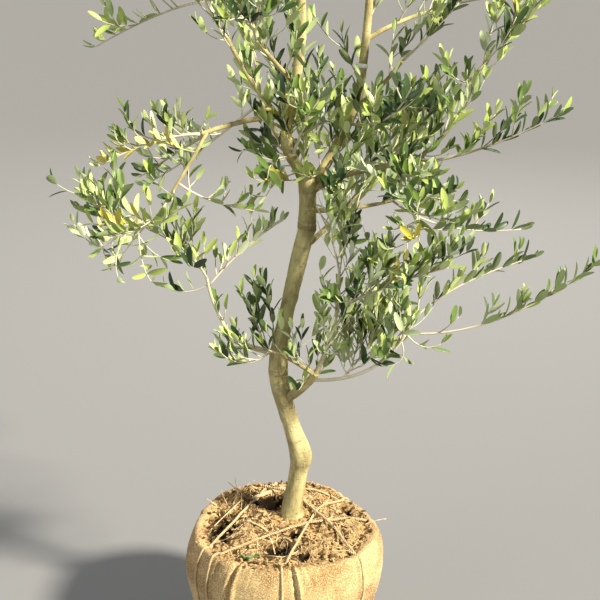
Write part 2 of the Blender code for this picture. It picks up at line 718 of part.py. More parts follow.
def leaves_of(twig, draw, bare):
    """The paired leaves of a twig as (base, direction, upward, length); the first bare share has none."""
    length = sum((b - a).length for a, b in zip(twig, twig[1:]))
    pairs = max(1, round(length * (1 - bare) / PAIR_SPACING))
    turn = draw.uniform(0, math.pi)
    rows = []
    for i in range(pairs):
        share = blend(bare, LAST_PAIR_AT, (i + 1) / pairs)
        base, along = point_along(twig, share)
        turn += math.pi / 2 + draw.uniform(-LEAF_TURN_SPREAD, LEAF_TURN_SPREAD)
        size = LEAF_LENGTH * draw.uniform(*LEAF_LENGTH_SPREAD)
        if i == pairs - 1:
            size *= TIP_LEAF_SIZE
        for half_turn in (0, math.pi):
            side = Quaternion(along, turn + half_turn) @ square_to(along)
            lean = LEAF_ANGLE * draw.uniform(*LEAF_LEAN_SPREAD)
            aim = (along * math.cos(lean) + side * math.sin(lean) + UP * LEAF_LIFT).normalized()
            facing = Quaternion(aim, draw.uniform(-LEAF_ROLL, LEAF_ROLL)) @ square_to(aim)
            rows.append((base, aim, facing, size))
    return rows


class Spaces:
    """Which mass each place belongs to: the one whose stem is nearest."""

    def __init__(self, stems):
        self.owners = []
        samples = []
        for owner, stem in enumerate(stems):
            for a, b in zip(stem, stem[1:]):
                samples += [a.lerp(b, share) for share in steps(SPACE_SAMPLES)]
            self.owners += [owner] * (len(samples) - len(self.owners))
        self.tree = KDTree(len(samples))
        for index, point in enumerate(samples):
            self.tree.insert(point, index)
        self.tree.balance()

    def holds(self, owner, point):
        """Whether a place is this mass's own, to within the slack where two masses meet."""
        _, nearest, distance = self.tree.find(point)
        if self.owners[nearest] == owner:
            return True
        _, _, own = self.tree.find(point, filter=lambda index: self.owners[index] == owner)
        return own < distance + SPACE_SLACK


def blocked(vertices, faces, surfaces):
    """Whether a piece, made a little larger all round, touches any of the surfaces."""
    middle = sum(vertices, Vector()) / len(vertices)
    larger = [vertex + (vertex - middle).normalized() * LEAF_CLEARANCE for vertex in vertices]
    shape = BVHTree.FromPolygons(larger, faces)
    return any(surface.overlap(shape) for surface in surfaces)


def largest_piece(mesh):
    """Drops every loose scrap and sealed hollow, keeping the largest connected surface."""
    shape = bmesh.new()
    shape.from_mesh(mesh)
    left, islands = set(shape.faces), []
    while left:
        island, front = set(), [left.pop()]
        while front:
            face = front.pop()
            island.add(face)
            for edge in face.edges:
                for other in edge.link_faces:
                    if other in left:
                        left.discard(other)
                        front.append(other)
        islands.append(island)
    keep = max(islands, key=len)
    bmesh.ops.delete(shape, geom=[face for face in shape.faces if face not in keep], context="FACES")
    closed = all(len(edge.link_faces) == 2 for edge in shape.edges)
    shape.to_mesh(mesh)
    shape.free()
    return closed


def fuse(stem, pieces):
    """Joins the pieces to the stem with one union; true if the result is one closed body."""
    group = bpy.data.collections.new(stem.name + "_pieces")
    bpy.context.scene.collection.children.link(group)
    for vertices, faces, finish in pieces:
        piece = new_object("piece", vertices, faces, list(stem.data.materials), finish)
        group.objects.link(piece)
        bpy.context.scene.collection.objects.unlink(piece)
    plain = stem.data.copy()
    for solver in ("EXACT", "MANIFOLD"):
        stem.data = plain.copy()
        union = stem.modifiers.new("fuse", "BOOLEAN")
        union.operation = "UNION"
        union.operand_type = "COLLECTION"
        union.collection = group
        union.solver = solver
        apply_modifiers(stem)
        if largest_piece(stem.data):
            break
    remove(group.objects)
    bpy.data.collections.remove(group)


def make_mass(owner, row, stem, tree, spaces, others, finishes):
    """One mass of foliage: its stem, side shoots and leaves fused into one body."""
    points, radii, foot = stem
    made = new_object(row.name, *tube(points, radii, TWIG_SIDES, foot), finishes, BARK)
    obstacles = [*tree.surfaces.values(), *others]
    pieces = []
    draw = random.Random(row.name + " leaves")
    twigs = [(points, STEM_PAIRS_FROM)]
    for shoot, shoot_radii in shoots_of(row, points):
        vertices, faces = tube(shoot, shoot_radii, TWIG_SIDES)
        if spaces.holds(owner, shoot[-1]) and not blocked(vertices, faces, obstacles):
            pieces.append((vertices, faces, BARK))
            twigs.append((shoot, SHOOT_PAIRS_FROM))
    for twig, bare in twigs:
        for base, aim, facing, size in leaves_of(twig, draw, bare):
            vertices, faces = leaf(base, aim, facing, size)
            if spaces.holds(owner, base + aim * size) and not blocked(vertices, faces, obstacles):
                pieces.append((vertices, faces, LEAF))
    fuse(made, pieces)
    return made


def make_foliage(tree, finishes):
    stems = [stem_of(row, tree) for row in MASSES]
    spaces = Spaces([points for points, _, _ in stems])
    others = []
    for owner, (row, stem) in enumerate(zip(MASSES, stems)):
        made = make_mass(owner, row, stem, tree, spaces, others, finishes)
        others.append(surface_of(made))


def main():
    remove(bpy.data.objects)
    finishes = {name: material(name, *row) for name, row in FINISHES.items()}
    wrap = make_burlap_wrap(finishes["burlap"])
    soil = make_soil(finishes["soil"])
    make_strings(finishes["jute"], wrap, soil)
    plant = [finishes["bark"], finishes["olive_leaf"]]
    make_foliage(make_limbs(plant), plant)


main()
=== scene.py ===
"""A young olive tree on a root ball wrapped in burlap, dressed for close views.

Limbs, masses and the ball are shaped from the same rows as the solids that they stand for. The limbs
get one skin of bark. Stems, side shoots and finer twigs grow on from them by the same seeded rule as
the solids, and carry leaves a little under life size. The ball gets folded, woven cloth, crumbled
soil with loose roots, and two-ply jute string.
Metres, +Z up, +X to the right of the tree's front and +Y towards its back.
"""

import json
import math
import random
from collections import namedtuple

import bmesh
import bpy
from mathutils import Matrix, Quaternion, Vector, noise
from mathutils.bvhtree import BVHTree
from mathutils.kdtree import KDTree

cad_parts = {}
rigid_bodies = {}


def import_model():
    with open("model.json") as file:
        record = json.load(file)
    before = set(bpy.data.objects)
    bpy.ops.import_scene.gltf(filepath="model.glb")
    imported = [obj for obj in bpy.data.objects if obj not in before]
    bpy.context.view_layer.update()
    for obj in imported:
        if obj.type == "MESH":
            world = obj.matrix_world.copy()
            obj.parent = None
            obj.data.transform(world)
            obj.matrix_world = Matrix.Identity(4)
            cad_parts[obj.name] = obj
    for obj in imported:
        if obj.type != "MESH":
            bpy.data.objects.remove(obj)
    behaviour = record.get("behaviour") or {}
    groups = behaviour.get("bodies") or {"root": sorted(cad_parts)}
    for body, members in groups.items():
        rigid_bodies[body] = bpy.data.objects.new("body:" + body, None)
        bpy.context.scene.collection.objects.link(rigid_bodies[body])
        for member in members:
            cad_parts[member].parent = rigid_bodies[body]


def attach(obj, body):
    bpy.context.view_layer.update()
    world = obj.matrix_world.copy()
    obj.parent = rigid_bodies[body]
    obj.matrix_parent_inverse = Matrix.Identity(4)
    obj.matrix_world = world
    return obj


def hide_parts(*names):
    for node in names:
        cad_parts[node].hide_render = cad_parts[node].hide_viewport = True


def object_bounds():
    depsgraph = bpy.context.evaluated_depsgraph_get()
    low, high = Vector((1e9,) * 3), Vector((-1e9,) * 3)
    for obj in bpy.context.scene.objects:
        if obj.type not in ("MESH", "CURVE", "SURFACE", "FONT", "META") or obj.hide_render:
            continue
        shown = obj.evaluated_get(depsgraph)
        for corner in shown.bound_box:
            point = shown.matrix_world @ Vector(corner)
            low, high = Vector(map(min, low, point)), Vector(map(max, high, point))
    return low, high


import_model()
solid_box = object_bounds()

UP = Vector((0, 0, 1))
ROUND = math.tau
NEARLY_UPRIGHT = 0.1

# The trunk and its two leaders: how far right, back and up each station lies, and its radius.
TRUNK_STATIONS = (
    (0.012, 0.022, 0.300, 0.0235),
    (0.013, 0.021, 0.325, 0.0200),
    (0.024, 0.014, 0.400, 0.0175),
    (0.028, 0.008, 0.440, 0.0208),
    (0.012, 0.003, 0.500, 0.0164),
    (-0.010, 0.000, 0.585, 0.0174),
    (-0.013, 0.000, 0.640, 0.0178),
    (0.000, 0.000, 0.720, 0.0134),
    (0.018, 0.000, 0.803, 0.0148),
    (0.035, 0.000, 0.875, 0.0156),
    (0.039, 0.000, 0.895, 0.0168),
    (0.041, 0.000, 0.940, 0.0152),
    (0.040, 0.000, 0.980, 0.0165),
    (0.040, 0.000, 0.990, 0.0130),
)
LEFT_LEADER_STATIONS = (
    (0.038, 0.000, 0.960, 0.0098),
    (0.027, 0.000, 0.995, 0.0104),
    (0.005, -0.012, 1.040, 0.0100),
    (0.010, -0.020, 1.095, 0.0098),
    (0.022, -0.020, 1.165, 0.0092),
    (0.029, -0.020, 1.270, 0.0086),
    (0.022, -0.012, 1.400, 0.0066),
    (0.030, 0.000, 1.530, 0.0044),
    (0.020, 0.008, 1.620, 0.0030),
)
RIGHT_LEADER_STATIONS = (
    (0.044, 0.000, 0.955, 0.0085),
    (0.062, 0.010, 0.986, 0.0092),
    (0.092, 0.040, 1.032, 0.0086),
    (0.126, 0.058, 1.100, 0.0082),
    (0.135, 0.064, 1.150, 0.0078),
    (0.146, 0.072, 1.270, 0.0068),
    (0.150, 0.078, 1.380, 0.0050),
    (0.142, 0.088, 1.500, 0.0030),
)
SOLID_STATION_STEPS = 2
SOLID_BOUGH_STEPS = 4
SKIN_STATION_STEPS = 14
SKIN_BOUGH_STEPS = 40

# A bough leaves its parent at a share of the parent's length. Reach is from its root to its tip
# (right, back, up), and bow is how far its middle stands off the straight line between them.
Bough = namedtuple("Bough", "name parent share reach bow root_radius tip_radius")
BOUGH_ROWS = (
    ("low_right_bough", "trunk", 0.375, (0.060, -0.055, 0.078), (0.004, 0, -0.004), 0.0088, 0.0070),
    ("crossing_bough", "low_right_bough", 0.93, (-0.08, -0.022, 0.056), (0, -0.012, 0.01), 0.0046, 0.003),
    ("right_inner_bough", "low_right_bough", 0.96, (0.04, -0.018, 0.165), (0.01, 0, 0.004), 0.0045, 0.003),
    ("bare_bough", "low_right_bough", 0.78, (0.163, -0.078, 0.122), (0.018, -0.010, -0.021), 0.0034, 0.0025),
    ("low_left_bough", "trunk", 0.510, (-0.088, -0.022, 0.038), (-0.004, 0, -0.003), 0.0064, 0.0046),
    ("low_left_rise", "low_left_bough", 0.95, (-0.042, -0.018, 0.124), (-0.008, 0, 0.004), 0.0034, 0.0024),
    ("mid_right_bough", "trunk", 0.945, (0.206, -0.060, 0.075), (-0.026, 0.008, 0.008), 0.0062, 0.0042),
    ("mid_right_lower", "trunk", 0.905, (0.154, 0.060, 0.002), (0, 0.004, -0.006), 0.0050, 0.0030),
    ("far_right_rise", "mid_right_bough", 0.84, (0.104, -0.020, 0.158), (0.018, 0, -0.010), 0.0038, 0.0024),
    ("back_right_bough", "trunk", 0.800, (0.130, 0.180, 0.085), (0, 0.010, -0.012), 0.0058, 0.0034),
    ("left_bough", "left_leader", 0.215, (-0.150, -0.032, -0.024), (0.004, 0, 0.008), 0.0050, 0.0040),
    ("left_lower_bough", "left_bough", 0.93, (-0.068, -0.052, -0.108), (0.004, 0, 0.004), 0.0034, 0.0024),
    ("upper_left_bough", "left_leader", 0.185, (-0.098, -0.052, 0.158), (-0.006, 0, -0.004), 0.0054, 0.0032),
    ("back_bough", "left_leader", 0.130, (-0.060, 0.210, 0.120), (-0.012, 0.010, -0.016), 0.0054, 0.0032),
    ("front_bough", "left_leader", 0.300, (-0.060, -0.170, 0.095), (0.010, 0, -0.014), 0.0048, 0.0030),
    ("pale_bough", "right_leader", 0.300, (0.076, -0.060, 0.090), (0, 0.002, -0.008), 0.0046, 0.0032),
    ("upper_right_bough", "right_leader", 0.500, (0.132, 0.040, 0.050), (-0.008, 0, 0.003), 0.0044, 0.0030),
    ("drooping_bough", "left_leader", 0.560, (-0.155, 0.004, -0.040), (0.004, 0, 0.022), 0.0044, 0.0028),
)
BOUGHS = [Bough(*row) for row in BOUGH_ROWS]

# A mass of foliage: its stem leaves a bough's tip (share 1) or its side, and shoot is the length
# of its longest side shoots.
Mass = namedtuple("Mass", "name parent share reach bow shoot")
MASS_ROWS = (
    ("crossing_foliage", "crossing_bough", 1, (-0.090, -0.012, 0.000), (0.004, 0, -0.020), 0.08),
    ("low_left_foliage", "low_left_rise", 1, (-0.095, -0.022, 0.095), (0.012, 0, 0.006), 0.06),
    ("low_left_side_foliage", "low_left_rise", 0.88, (0.126, 0.035, 0.108), (-0.006, 0, 0.004), 0.05),
    ("left_lower_foliage", "left_lower_bough", 1, (-0.125, -0.020, 0.012), (0.012, 0, -0.044), 0.16),
    ("left_inner_foliage", "left_lower_bough", 0.72, (0.125, 0.035, -0.058), (-0.010, 0, -0.006), 0.05),
    ("left_upper_foliage", "left_bough", 1, (-0.160, -0.050, -0.040), (0.006, 0, 0.014), 0.07),
    ("left_rising_foliage", "left_bough", 0.86, (-0.125, 0.030, -0.085), (-0.010, 0.004, -0.006), 0.09),
    ("right_inner_foliage", "right_inner_bough", 1, (-0.040, 0.020, 0.150), (0.014, 0, -0.008), 0.12),
    ("right_middle_foliage", "right_inner_bough", 0.80, (0.180, -0.100, 0.11), (0.008, -0.006, 0.012), 0.13),
    ("long_low_foliage", "bare_bough", 1, (0.330, -0.035, 0.158), (0, 0, -0.042), 0.06),
    ("right_low_foliage", "bare_bough", 0.86, (0.243, 0.090, 0.132), (-0.040, 0, 0.010), 0.08),
    ("low_right_foliage", "bare_bough", 0.30, (0.080, 0.070, 0.085), (0, 0.012, -0.010), 0.11),
    ("right_mid_foliage", "mid_right_lower", 1, (0.240, 0.020, -0.060), (-0.016, 0, -0.022), 0.10),
    ("right_droop_foliage", "mid_right_bough", 0.76, (0.030, -0.080, -0.130), (0.014, 0, 0.016), 0.11),
    ("right_rising_foliage", "mid_right_bough", 0.62, (0.095, 0.050, 0.130), (0.010, 0, -0.008), 0.12),
    ("far_right_foliage", "mid_right_bough", 1, (0.205, -0.060, 0.095), (-0.004, 0, -0.012), 0.13),
    ("far_top_foliage", "far_right_rise", 1, (0.095, -0.020, 0.110), (-0.010, 0, -0.010), 0.11),
    ("back_right_foliage", "back_right_bough", 1, (0.120, 0.150, 0.040), (-0.010, 0, 0.014), 0.14),
    ("back_foliage", "back_bough", 1, (-0.040, 0.180, 0.050), (0, -0.010, 0.014), 0.14),
    ("back_left_foliage", "back_bough", 0.60, (-0.235, 0.110, -0.185), (-0.020, 0.010, -0.024), 0.08),
    ("centre_foliage", "left_leader", 0.10, (0.030, -0.150, 0.110), (0.006, 0, 0.016), 0.13),
    ("front_foliage", "front_bough", 1, (-0.030, -0.170, 0.050), (0.006, 0, 0.014), 0.12),
    ("front_right_foliage", "right_leader", 0.245, (0.080, -0.320, 0.120), (0.014, 0, -0.020), 0.12),
    ("pale_foliage", "pale_bough", 1, (0.085, -0.045, 0.100), (-0.006, 0, -0.010), 0.12),
    ("upper_right_foliage", "upper_right_bough", 1, (0.175, 0.020, 0.020), (-0.008, 0, 0.006), 0.13),
    ("upper_left_foliage", "upper_left_bough", 1, (-0.060, -0.030, 0.150), (-0.004, 0, -0.012), 0.13),
    ("drooping_foliage", "drooping_bough", 1, (-0.180, -0.030, -0.070), (0.012, 0, 0.014), 0.13),
    ("upper_back_foliage", "left_leader", 0.620, (-0.090, 0.270, 0.120), (0, 0.010, -0.020), 0.13),
    ("upper_front_foliage", "left_leader", 0.680, (0.050, -0.280, 0.130), (0, -0.010, -0.020), 0.13),
    ("crown_left_foliage", "left_leader", 0.800, (-0.210, -0.040, 0.150), (0, 0, -0.020), 0.13),
    ("crown_right_foliage", "right_leader", 0.780, (0.220, 0.060, 0.140), (0, 0, -0.020), 0.13),
    ("left_top_foliage", "left_leader", 1, (0.010, 0, 0.205), (-0.010, 0.004, 0), 0.14),
    ("right_top_foliage", "right_leader", 1, (0.020, 0.020, 0.215), (0.010, 0, 0), 0.14),
)
MASSES = [Mass(*row) for row in MASS_ROWS]

# The stems and side shoots of the solids, by the same rule and seeds.
STEM_STEPS = 14
STEM_RADIUS_LIMITS = (0.0018, 0.0030)
STEM_TO_BOUGH = 0.8
STEM_TIP_RADIUS = 0.0010
SHOOTS_AT_LEAST = 3
SHOOT_SPACING = 0.055
SHOOT_SPAN = (0.10, 0.72)
SHOOT_LIFT = 0.40
SHOOT_BOW = 0.06
SHOOT_PLACE_SPREAD = (0.3, 0.7)
SHOOT_TURN_SPREAD = 0.4
SHOOT_LEAN_SPREAD = (0.8, 1.2)
SHOOT_LENGTH_SPREAD = (0.75, 1.10)
GOLDEN_ANGLE = math.radians(137.5)

# A kind of side twig: how many steps its path has, how far it leans off its stem, its radii, how
# much shorter it is far out, and whether it never sets off downwards.
TwigKind = namedtuple("TwigKind", "steps lean radii shrink rising")
SHOOT = TwigKind(7, math.radians(46), (0.0015, 0.0008), 0.55, True)
FINE_TWIG = TwigKind(4, math.radians(54), (0.0010, 0.0006), 0.4, False)

# The shoots between those, and the finer twigs, that the solids leave out.
BETWEEN_PER_SHOOT = 2.6
BETWEEN_SPAN = (0.04, 0.92)
BETWEEN_SIZE = 0.85
FINE_SPACING = 0.042
FINE_SPAN = (0.10, 0.85)
FINE_LENGTHS = (0.045, 0.105)

# How full a mass is, where it isn't as full as most.
FULLNESS = {
    "crossing_foliage": 0.2,
    "low_left_foliage": 1.0,
    "low_left_side_foliage": 0.8,
    "left_lower_foliage": 0.7,
    "left_inner_foliage": 0.5,
    "left_upper_foliage": 0.3,
    "left_rising_foliage": 0.15,
    "back_left_foliage": 0.0,
    "right_inner_foliage": 1.3,
    "right_middle_foliage": 1.3,
    "long_low_foliage": 0.1,
    "right_low_foliage": 0.5,
    "low_right_foliage": 1.8,
    "right_mid_foliage": 0.3,
    "right_droop_foliage": 1.5,
    "right_rising_foliage": 0.4,
    "far_right_foliage": 0.2,
    "far_top_foliage": 0.5,
    "front_right_foliage": 0.4,
    "centre_foliage": 0.8,
    "front_foliage": 0.5,
    "back_foliage": 0.4,
    "drooping_foliage": 0.2,
    "upper_left_foliage": 0.7,
    "pale_foliage": 0.3,
    "upper_right_foliage": 0.5,
}

# Leafy shoots that leave the limbs themselves: over which span, how many, and the longest.
LIMB_SHOOTS = (
    ("left_leader", (0.00, 0.22), 8, 0.12),
    ("left_leader", (0.22, 0.62), 4, 0.13),
    ("right_leader", (0.02, 0.25), 6, 0.11),
    ("right_leader", (0.25, 0.60), 4, 0.13),
    ("low_right_bough", (0.50, 0.95), 3, 0.08),
    ("crossing_bough", (0.25, 1.00), 4, 0.08),
    ("right_inner_bough", (0.10, 1.00), 7, 0.12),
    ("bare_bough", (0.62, 1.00), 9, 0.09),
    ("low_left_bough", (0.45, 0.95), 2, 0.05),
    ("low_left_rise", (0.10, 1.00), 2, 0.04),
    ("mid_right_bough", (0.15, 1.00), 6, 0.12),
    ("mid_right_lower", (0.20, 1.00), 5, 0.11),
    ("far_right_rise", (0.20, 1.00), 7, 0.10),
    ("back_right_bough", (0.40, 1.00), 5, 0.13),
    ("left_lower_bough", (0.20, 1.00), 3, 0.08),
    ("upper_left_bough", (0.20, 1.00), 4, 0.11),
    ("back_bough", (0.30, 1.00), 3, 0.12),
    ("front_bough", (0.30, 1.00), 3, 0.10),
    ("pale_bough", (0.20, 1.00), 4, 0.12),
    ("upper_right_bough", (0.30, 1.00), 3, 0.11),
    ("drooping_bough", (0.30, 1.00), 2, 0.11),
)

# Leafy twigs without side shoots, each off a limb or off the stem of a mass: the share of its
# length at which they leave it, their reach and their bow.
SINGLE_TWIGS = (
    ("low_left_bough", 0.20, (-0.025, -0.010, 0.145), (-0.005, 0, 0.000)),
    ("low_left_bough", 0.08, (-0.020, -0.030, 0.155), (0.005, 0, 0.000)),
    ("low_left_bough", 0.30, (-0.038, -0.024, 0.118), (0.006, 0, 0.000)),
    ("low_left_rise", 0.90, (-0.075, 0.010, -0.010), (0.000, 0, -0.010)),
    ("mid_right_lower", 0.12, (0.120, -0.060, -0.080), (-0.005, 0, -0.010)),
    ("bare_bough", 1.00, (0.060, -0.010, -0.015), (0.000, 0, -0.015)),
    ("bare_bough", 0.93, (-0.025, 0.000, -0.050), (0.015, 0, -0.010)),
    ("left_lower_foliage", 0.60, (-0.005, -0.010, 0.105), (0.000, 0, 0.000)),
    ("left_lower_foliage", 0.65, (-0.045, -0.030, 0.045), (0.000, 0, 0.000)),
    ("left_lower_foliage", 0.55, (-0.080, -0.030, 0.010), (0.000, 0, -0.040)),
    ("left_lower_foliage", 0.42, (0.080, -0.030, 0.045), (0.000, 0, -0.015)),
    ("left_lower_foliage", 0.45, (0.060, -0.020, -0.055), (-0.005, 0, -0.010)),
    ("left_bough", 0.97, (0.005, -0.010, 0.025), (-0.005, 0, 0.000)),
    ("left_upper_foliage", 0.55, (-0.030, -0.010, 0.055), (-0.005, 0, 0.000)),
    ("left_leader", 0.06, (-0.075, -0.050, -0.005), (0.000, 0, -0.010)),
    ("left_leader", 0.10, (-0.070, -0.060, 0.025), (0.000, 0, -0.010)),
    ("left_leader", 0.05, (-0.060, -0.030, -0.034), (-0.006, 0, 0.008)),
    ("left_leader", 0.09, (-0.066, 0.040, 0.016), (-0.004, 0, 0.006)),
    ("left_leader", 0.03, (-0.048, -0.052, 0.010), (-0.006, 0, 0.000)),
    ("left_leader", 0.12, (-0.078, -0.020, 0.004), (-0.004, 0, 0.012)),
    ("left_leader", 0.07, (-0.050, 0.060, -0.040), (-0.010, 0, 0.010)),
    ("left_leader", 0.10, (-0.040, -0.080, -0.018), (-0.010, 0, 0.012)),
    ("right_leader", 0.08, (-0.034, -0.075, 0.012), (0.000, 0, -0.008)),
    ("right_leader", 0.12, (0.020, -0.080, -0.016), (0.004, 0, 0.008)),
    ("right_leader", 0.17, (-0.030, -0.070, 0.020), (0.000, 0, -0.006)),
    ("right_leader", 0.21, (0.024, -0.066, -0.030), (0.004, 0, 0.010)),
    ("mid_right_bough", 0.10, (0.030, -0.070, 0.030), (0.000, 0, -0.006)),
    ("mid_right_bough", 0.18, (0.010, -0.080, 0.002), (0.004, 0, 0.008)),
    ("long_low_foliage", 0.97, (0.042, -0.004, 0.020), (0.000, 0, -0.003)),
    ("left_lower_foliage", 0.30, (-0.052, 0.012, -0.072), (-0.010, 0, -0.008)),
    ("left_lower_foliage", 0.48, (-0.020, -0.040, -0.078), (-0.012, 0, -0.004)),
    ("left_lower_foliage", 0.66, (-0.024, 0.020, -0.070), (-0.010, 0, -0.006)),
    ("left_lower_foliage", 0.40, (0.024, -0.050, -0.082), (-0.006, 0, -0.010)),
)
SINGLE_PAIRS_FROM = 0.15

# Leaves, a little under life size, in pairs that turn a quarter round from one to the next.
PAIR_SPACING = 0.0185
STEM_PAIRS_FROM = 0.30
SHOOT_PAIRS_FROM = 0.12
FINE_PAIRS_FROM = 0.25
LEAF_LENGTH = 0.0365
LEAF_LENGTH_SPREAD = (0.78, 1.14)
TIP_LEAF_SIZE = 0.74
TIP_LEAF_LEAN = 0.6
LEAF_WIDTH = 0.30
LEAF_ANGLE = math.radians(36)
LEAF_LEAN_SPREAD = (0.60, 1.55)
LEAF_LIFT_SPREAD = (0.15, 1.05)
LEAF_TURN_SPREAD = 0.35
LEAF_ROLL = 0.75
LEAF_FACING_UP = 0.4
LEAF_CURL_SPREAD = (-0.05, 0.22)
LEAF_FOLD = 0.20
LEAF_THICKNESS = 0.00025
LEAF_STALK = 0.004
LEAF_OUTLINE = (
    (0.06, 0.09),
    (0.14, 0.42),
    (0.28, 0.84),
    (0.46, 1.00),
    (0.66, 0.97),
    (0.83, 0.76),
    (0.94, 0.45),
)
LEAF_LOSS = 0.05
SPACE_SAMPLES = 4
SPACE_SLACK = 0.030
CLEAR_LIMBS = (("trunk", 0.84, 0.985, 0.032), ("right_leader", 1.16, 1.34, 0.018))

# The colours of a spray, partly painted light: upper side, under side and share of the sprays.
LEAF_TONES = {
    # Painted shade: the deep tone is the leaves' dark upper green, made darker still for sprays in shade.
    "deep_leaves": ((0.030, 0.064, 0.014), (0.210, 0.265, 0.120), 0.25),
    "green_leaves": ((0.118, 0.192, 0.036), (0.350, 0.425, 0.175), 0.32),
    # Painted sunlight: the bright tone is a sunlit yellow-green, paled as for a glossy highlight.
    "bright_leaves": ((0.325, 0.405, 0.095), (0.490, 0.560, 0.250), 0.31),
    "silver_leaves": ((0.390, 0.455, 0.240), (0.590, 0.650, 0.420), 0.10),
    "yellow_leaves": ((0.500, 0.440, 0.060), (0.560, 0.530, 0.200), 0.03),
}
TWIG_COLOUR = (0.520, 0.470, 0.330)
YOUNG_TWIG_COLOUR = (0.470, 0.480, 0.310)
# Tip leaves often take the bright tone, which is painted as sunlit.
TIP_TONE = "bright_leaves"
TIP_TONE_SHARE = 0.45
STEM_SIDES = 7
SHOOT_SIDES = 5
FINE_SIDES = 4

# The wrapped ball: its outline from its flat foot up, as (height, radius), and how far its belly
# is off to the left.
WRAP_PROFILE = (
    (0.0, 0.116),
    (0.02, 0.130),
    (0.10, 0.159),
    (0.165, 0.174),
    (0.215, 0.183),
    (0.250, 0.1815),
    (0.273, 0.176),
)
BALL_BELLY = 0.006
BALL_RADIUS = 0.183
LIP_CREST = (0.1695, 0.2865)
LIP_EDGE = (0.156, 0.2845)
# Waves round the ball and its lip: how many, how high and at which turn.
LOBES = ((2, 0.022, 0.6), (3, 0.014, 2.1), (5, 0.008, 1.0))
LIP_WAVES = ((2, 0.005, 2.4), (5, 0.003, 0.5))
LIP_WAVES_FROM = 0.20
CLOTH_TURNS = 400
CLOTH_PITCH = 0.0024
THREAD_WANDER = 0.0016
TRUNK_FOOT = Vector((0.012, 0.022, 0.300))
SEAT_RADIUS = 0.034
SOIL_EDGE_RADIUS = 0.152
SOIL_EDGE_HEIGHT = 0.2835
SOIL_TURNS = 220
SOIL_RINGS = 70
CLODS = 26
CLOD_SHARES = (0.1, 0.9)
CLOD_HEIGHTS = (0.003, 0.010)
CLOD_WIDTHS = (0.012, 0.024)
CLOD_FADE = 0.7
MOUND_CURVE = 1.5
# Hollows of the soil, right and back; and shaded ones with their width, length and depth, which sinks them
# and sets their painted shade.
HOLLOWS = ((-0.041, 0.075), (0.108, 0.080), (-0.011, -0.088))
HOLLOW_DEPTH = 0.013
HOLLOW_WIDTH = 0.022
# Crumbs and roots stay off the painted shade where it is deeper than a level drawn from this span.
BARE_SHADE = (0.25, 0.60)
SHADED_HOLLOWS = (
    (-0.038, 0.073, 0.031, 0.022, 1.4),
    (0.125, 0.060, 0.013, 0.024, 1.0),
    (-0.016, -0.096, 0.024, 0.016, 1.0),
    (0.019, -0.050, 0.010, 0.013, 0.9),
    (0.034, -0.128, 0.010, 0.015, 0.9),
    (-0.124, -0.012, 0.026, 0.045, 0.62),
)
BACK_LUMP = (-0.070, 0.110, 0.022, 0.024)

# Jute strings, two plies each: a start and an end on the ball's side, and the point they pass.
STRING_RADIUS = 0.0022
STRING_HEART = (0.100, 0.180)
STRING_RISES = (math.radians(-74), math.radians(66))
STRING_INSIDE_LIP = 0.161
STRING_ROUTES = {
    "front_string": (-90, (0.060, 0.040), 42),
    "left_string": (-141, (0.041, -0.020), 8),
    "back_string": (-152, (-0.060, 0.085), 97),
    "right_string": (118, (0.030, 0.070), -38),
}

LIP_TUCK = (0.152, 0.2815)
CLOTH_ROW_STEPS = 12
CLOTH_INSIDE = ((0.158, 0.262), (0.166, 0.22), (0.160, 0.165), (0.145, 0.08), (0.118, 0.02), (0.090, 0.006))
# Folds: turn in degrees, slant and height. Strings pinch the cloth, and it puffs out between them.
PINCH_WIDTH = 0.13
PUFF = 0.0045
FOLD_WIDTH = 0.0045
FOLD_CREASE = 0.9
FOLD_LEE = 0.45
LOOSE_FOLDS = 26
LOOSE_FOLD_STARTS = (-0.1, 0.0, 0.35, 0.55)
LOOSE_FOLD_RUN = 0.55
LOOSE_FOLD_HEIGHTS = (0.0010, 0.0030)
LOOSE_FOLD_WIDTHS = (0.003, 0.007)
LOOSE_FOLD_SLANT = 0.35
PLACED_FOLDS = (
    (-124, 0.12, -0.0075),
    (-82, -0.24, -0.0085),
    (-41, -0.10, -0.0070),
    (-139, 0.05, 0.0030),
    (-20, 0.05, 0.0030),
)
CREASES = ((26, 2.4, 0.0016), (95, 22, 0.0007))
GATHERS = (62, 3, 0.0035)
GATHERS_FROM = 0.72
LIP_WANDER = ((2.4, 0.018), (7, 0.016), (21, 0.012), (60, 0.006))
RAGGED_FROM = 0.84
SOILED_FROM = 0.74
SOIL_INSET = 0.0040
CRUMBLE_SCALE = 42
CRUMBLE_HEIGHT = 0.0064
GRIT_SCALE = 210
GRIT_HEIGHT = 0.0022
KNOB_SCALE = 95
KNOB_HEIGHT = 0.0045
PIT_DEPTH = 0.017
SOIL_OVERREACH = 1.08
SOIL_EDGE_DIP = 0.26
SPILLS = ((math.radians(92), 1.05, 1.0), (math.radians(-84), 0.62, 0.72))
SPILL_REACH = 0.013
SPILL_RISE = 0.0075
RAY_HEIGHT = 1.0

# Loose crumbs and roots on the soil.
CRUMBS = 2600
CRUMBS_OUT = 0.166
CRUMBS_FROM_TRUNK = 0.030
CRUMB_SIZES = (0.0011, 0.0062)
CRUMB_LONG = 1.25
CRUMB_WIDTHS = (0.35, 0.90)
CRUMB_HEIGHTS = (0.25, 0.65)
CRUMB_SUNK = 0.35
DARK_CRUMB_SHARE = 0.35
CRUMB_TONES = {"pale_crumbs": (0.540, 0.370, 0.170), "dark_crumbs": (0.120, 0.068, 0.030)}
ROOTS = 420
ROOTS_OUT = 0.152
ROOT_STEPS = 14
ROOT_RADII = (0.0003, 0.0011)
ROOTS_FROM_TRUNK = 0.030
ROOT_STRIDES = (0.0022, 0.0065)
ROOT_ARCHES = (0.0, 0.0, 0.002, 0.005)
ROOT_BEND = 0.18
ROOT_WANDER = 0.25
ROOT_TIP = 0.45
STANDING_STEPS = 8
STANDING_TIP = 0.35
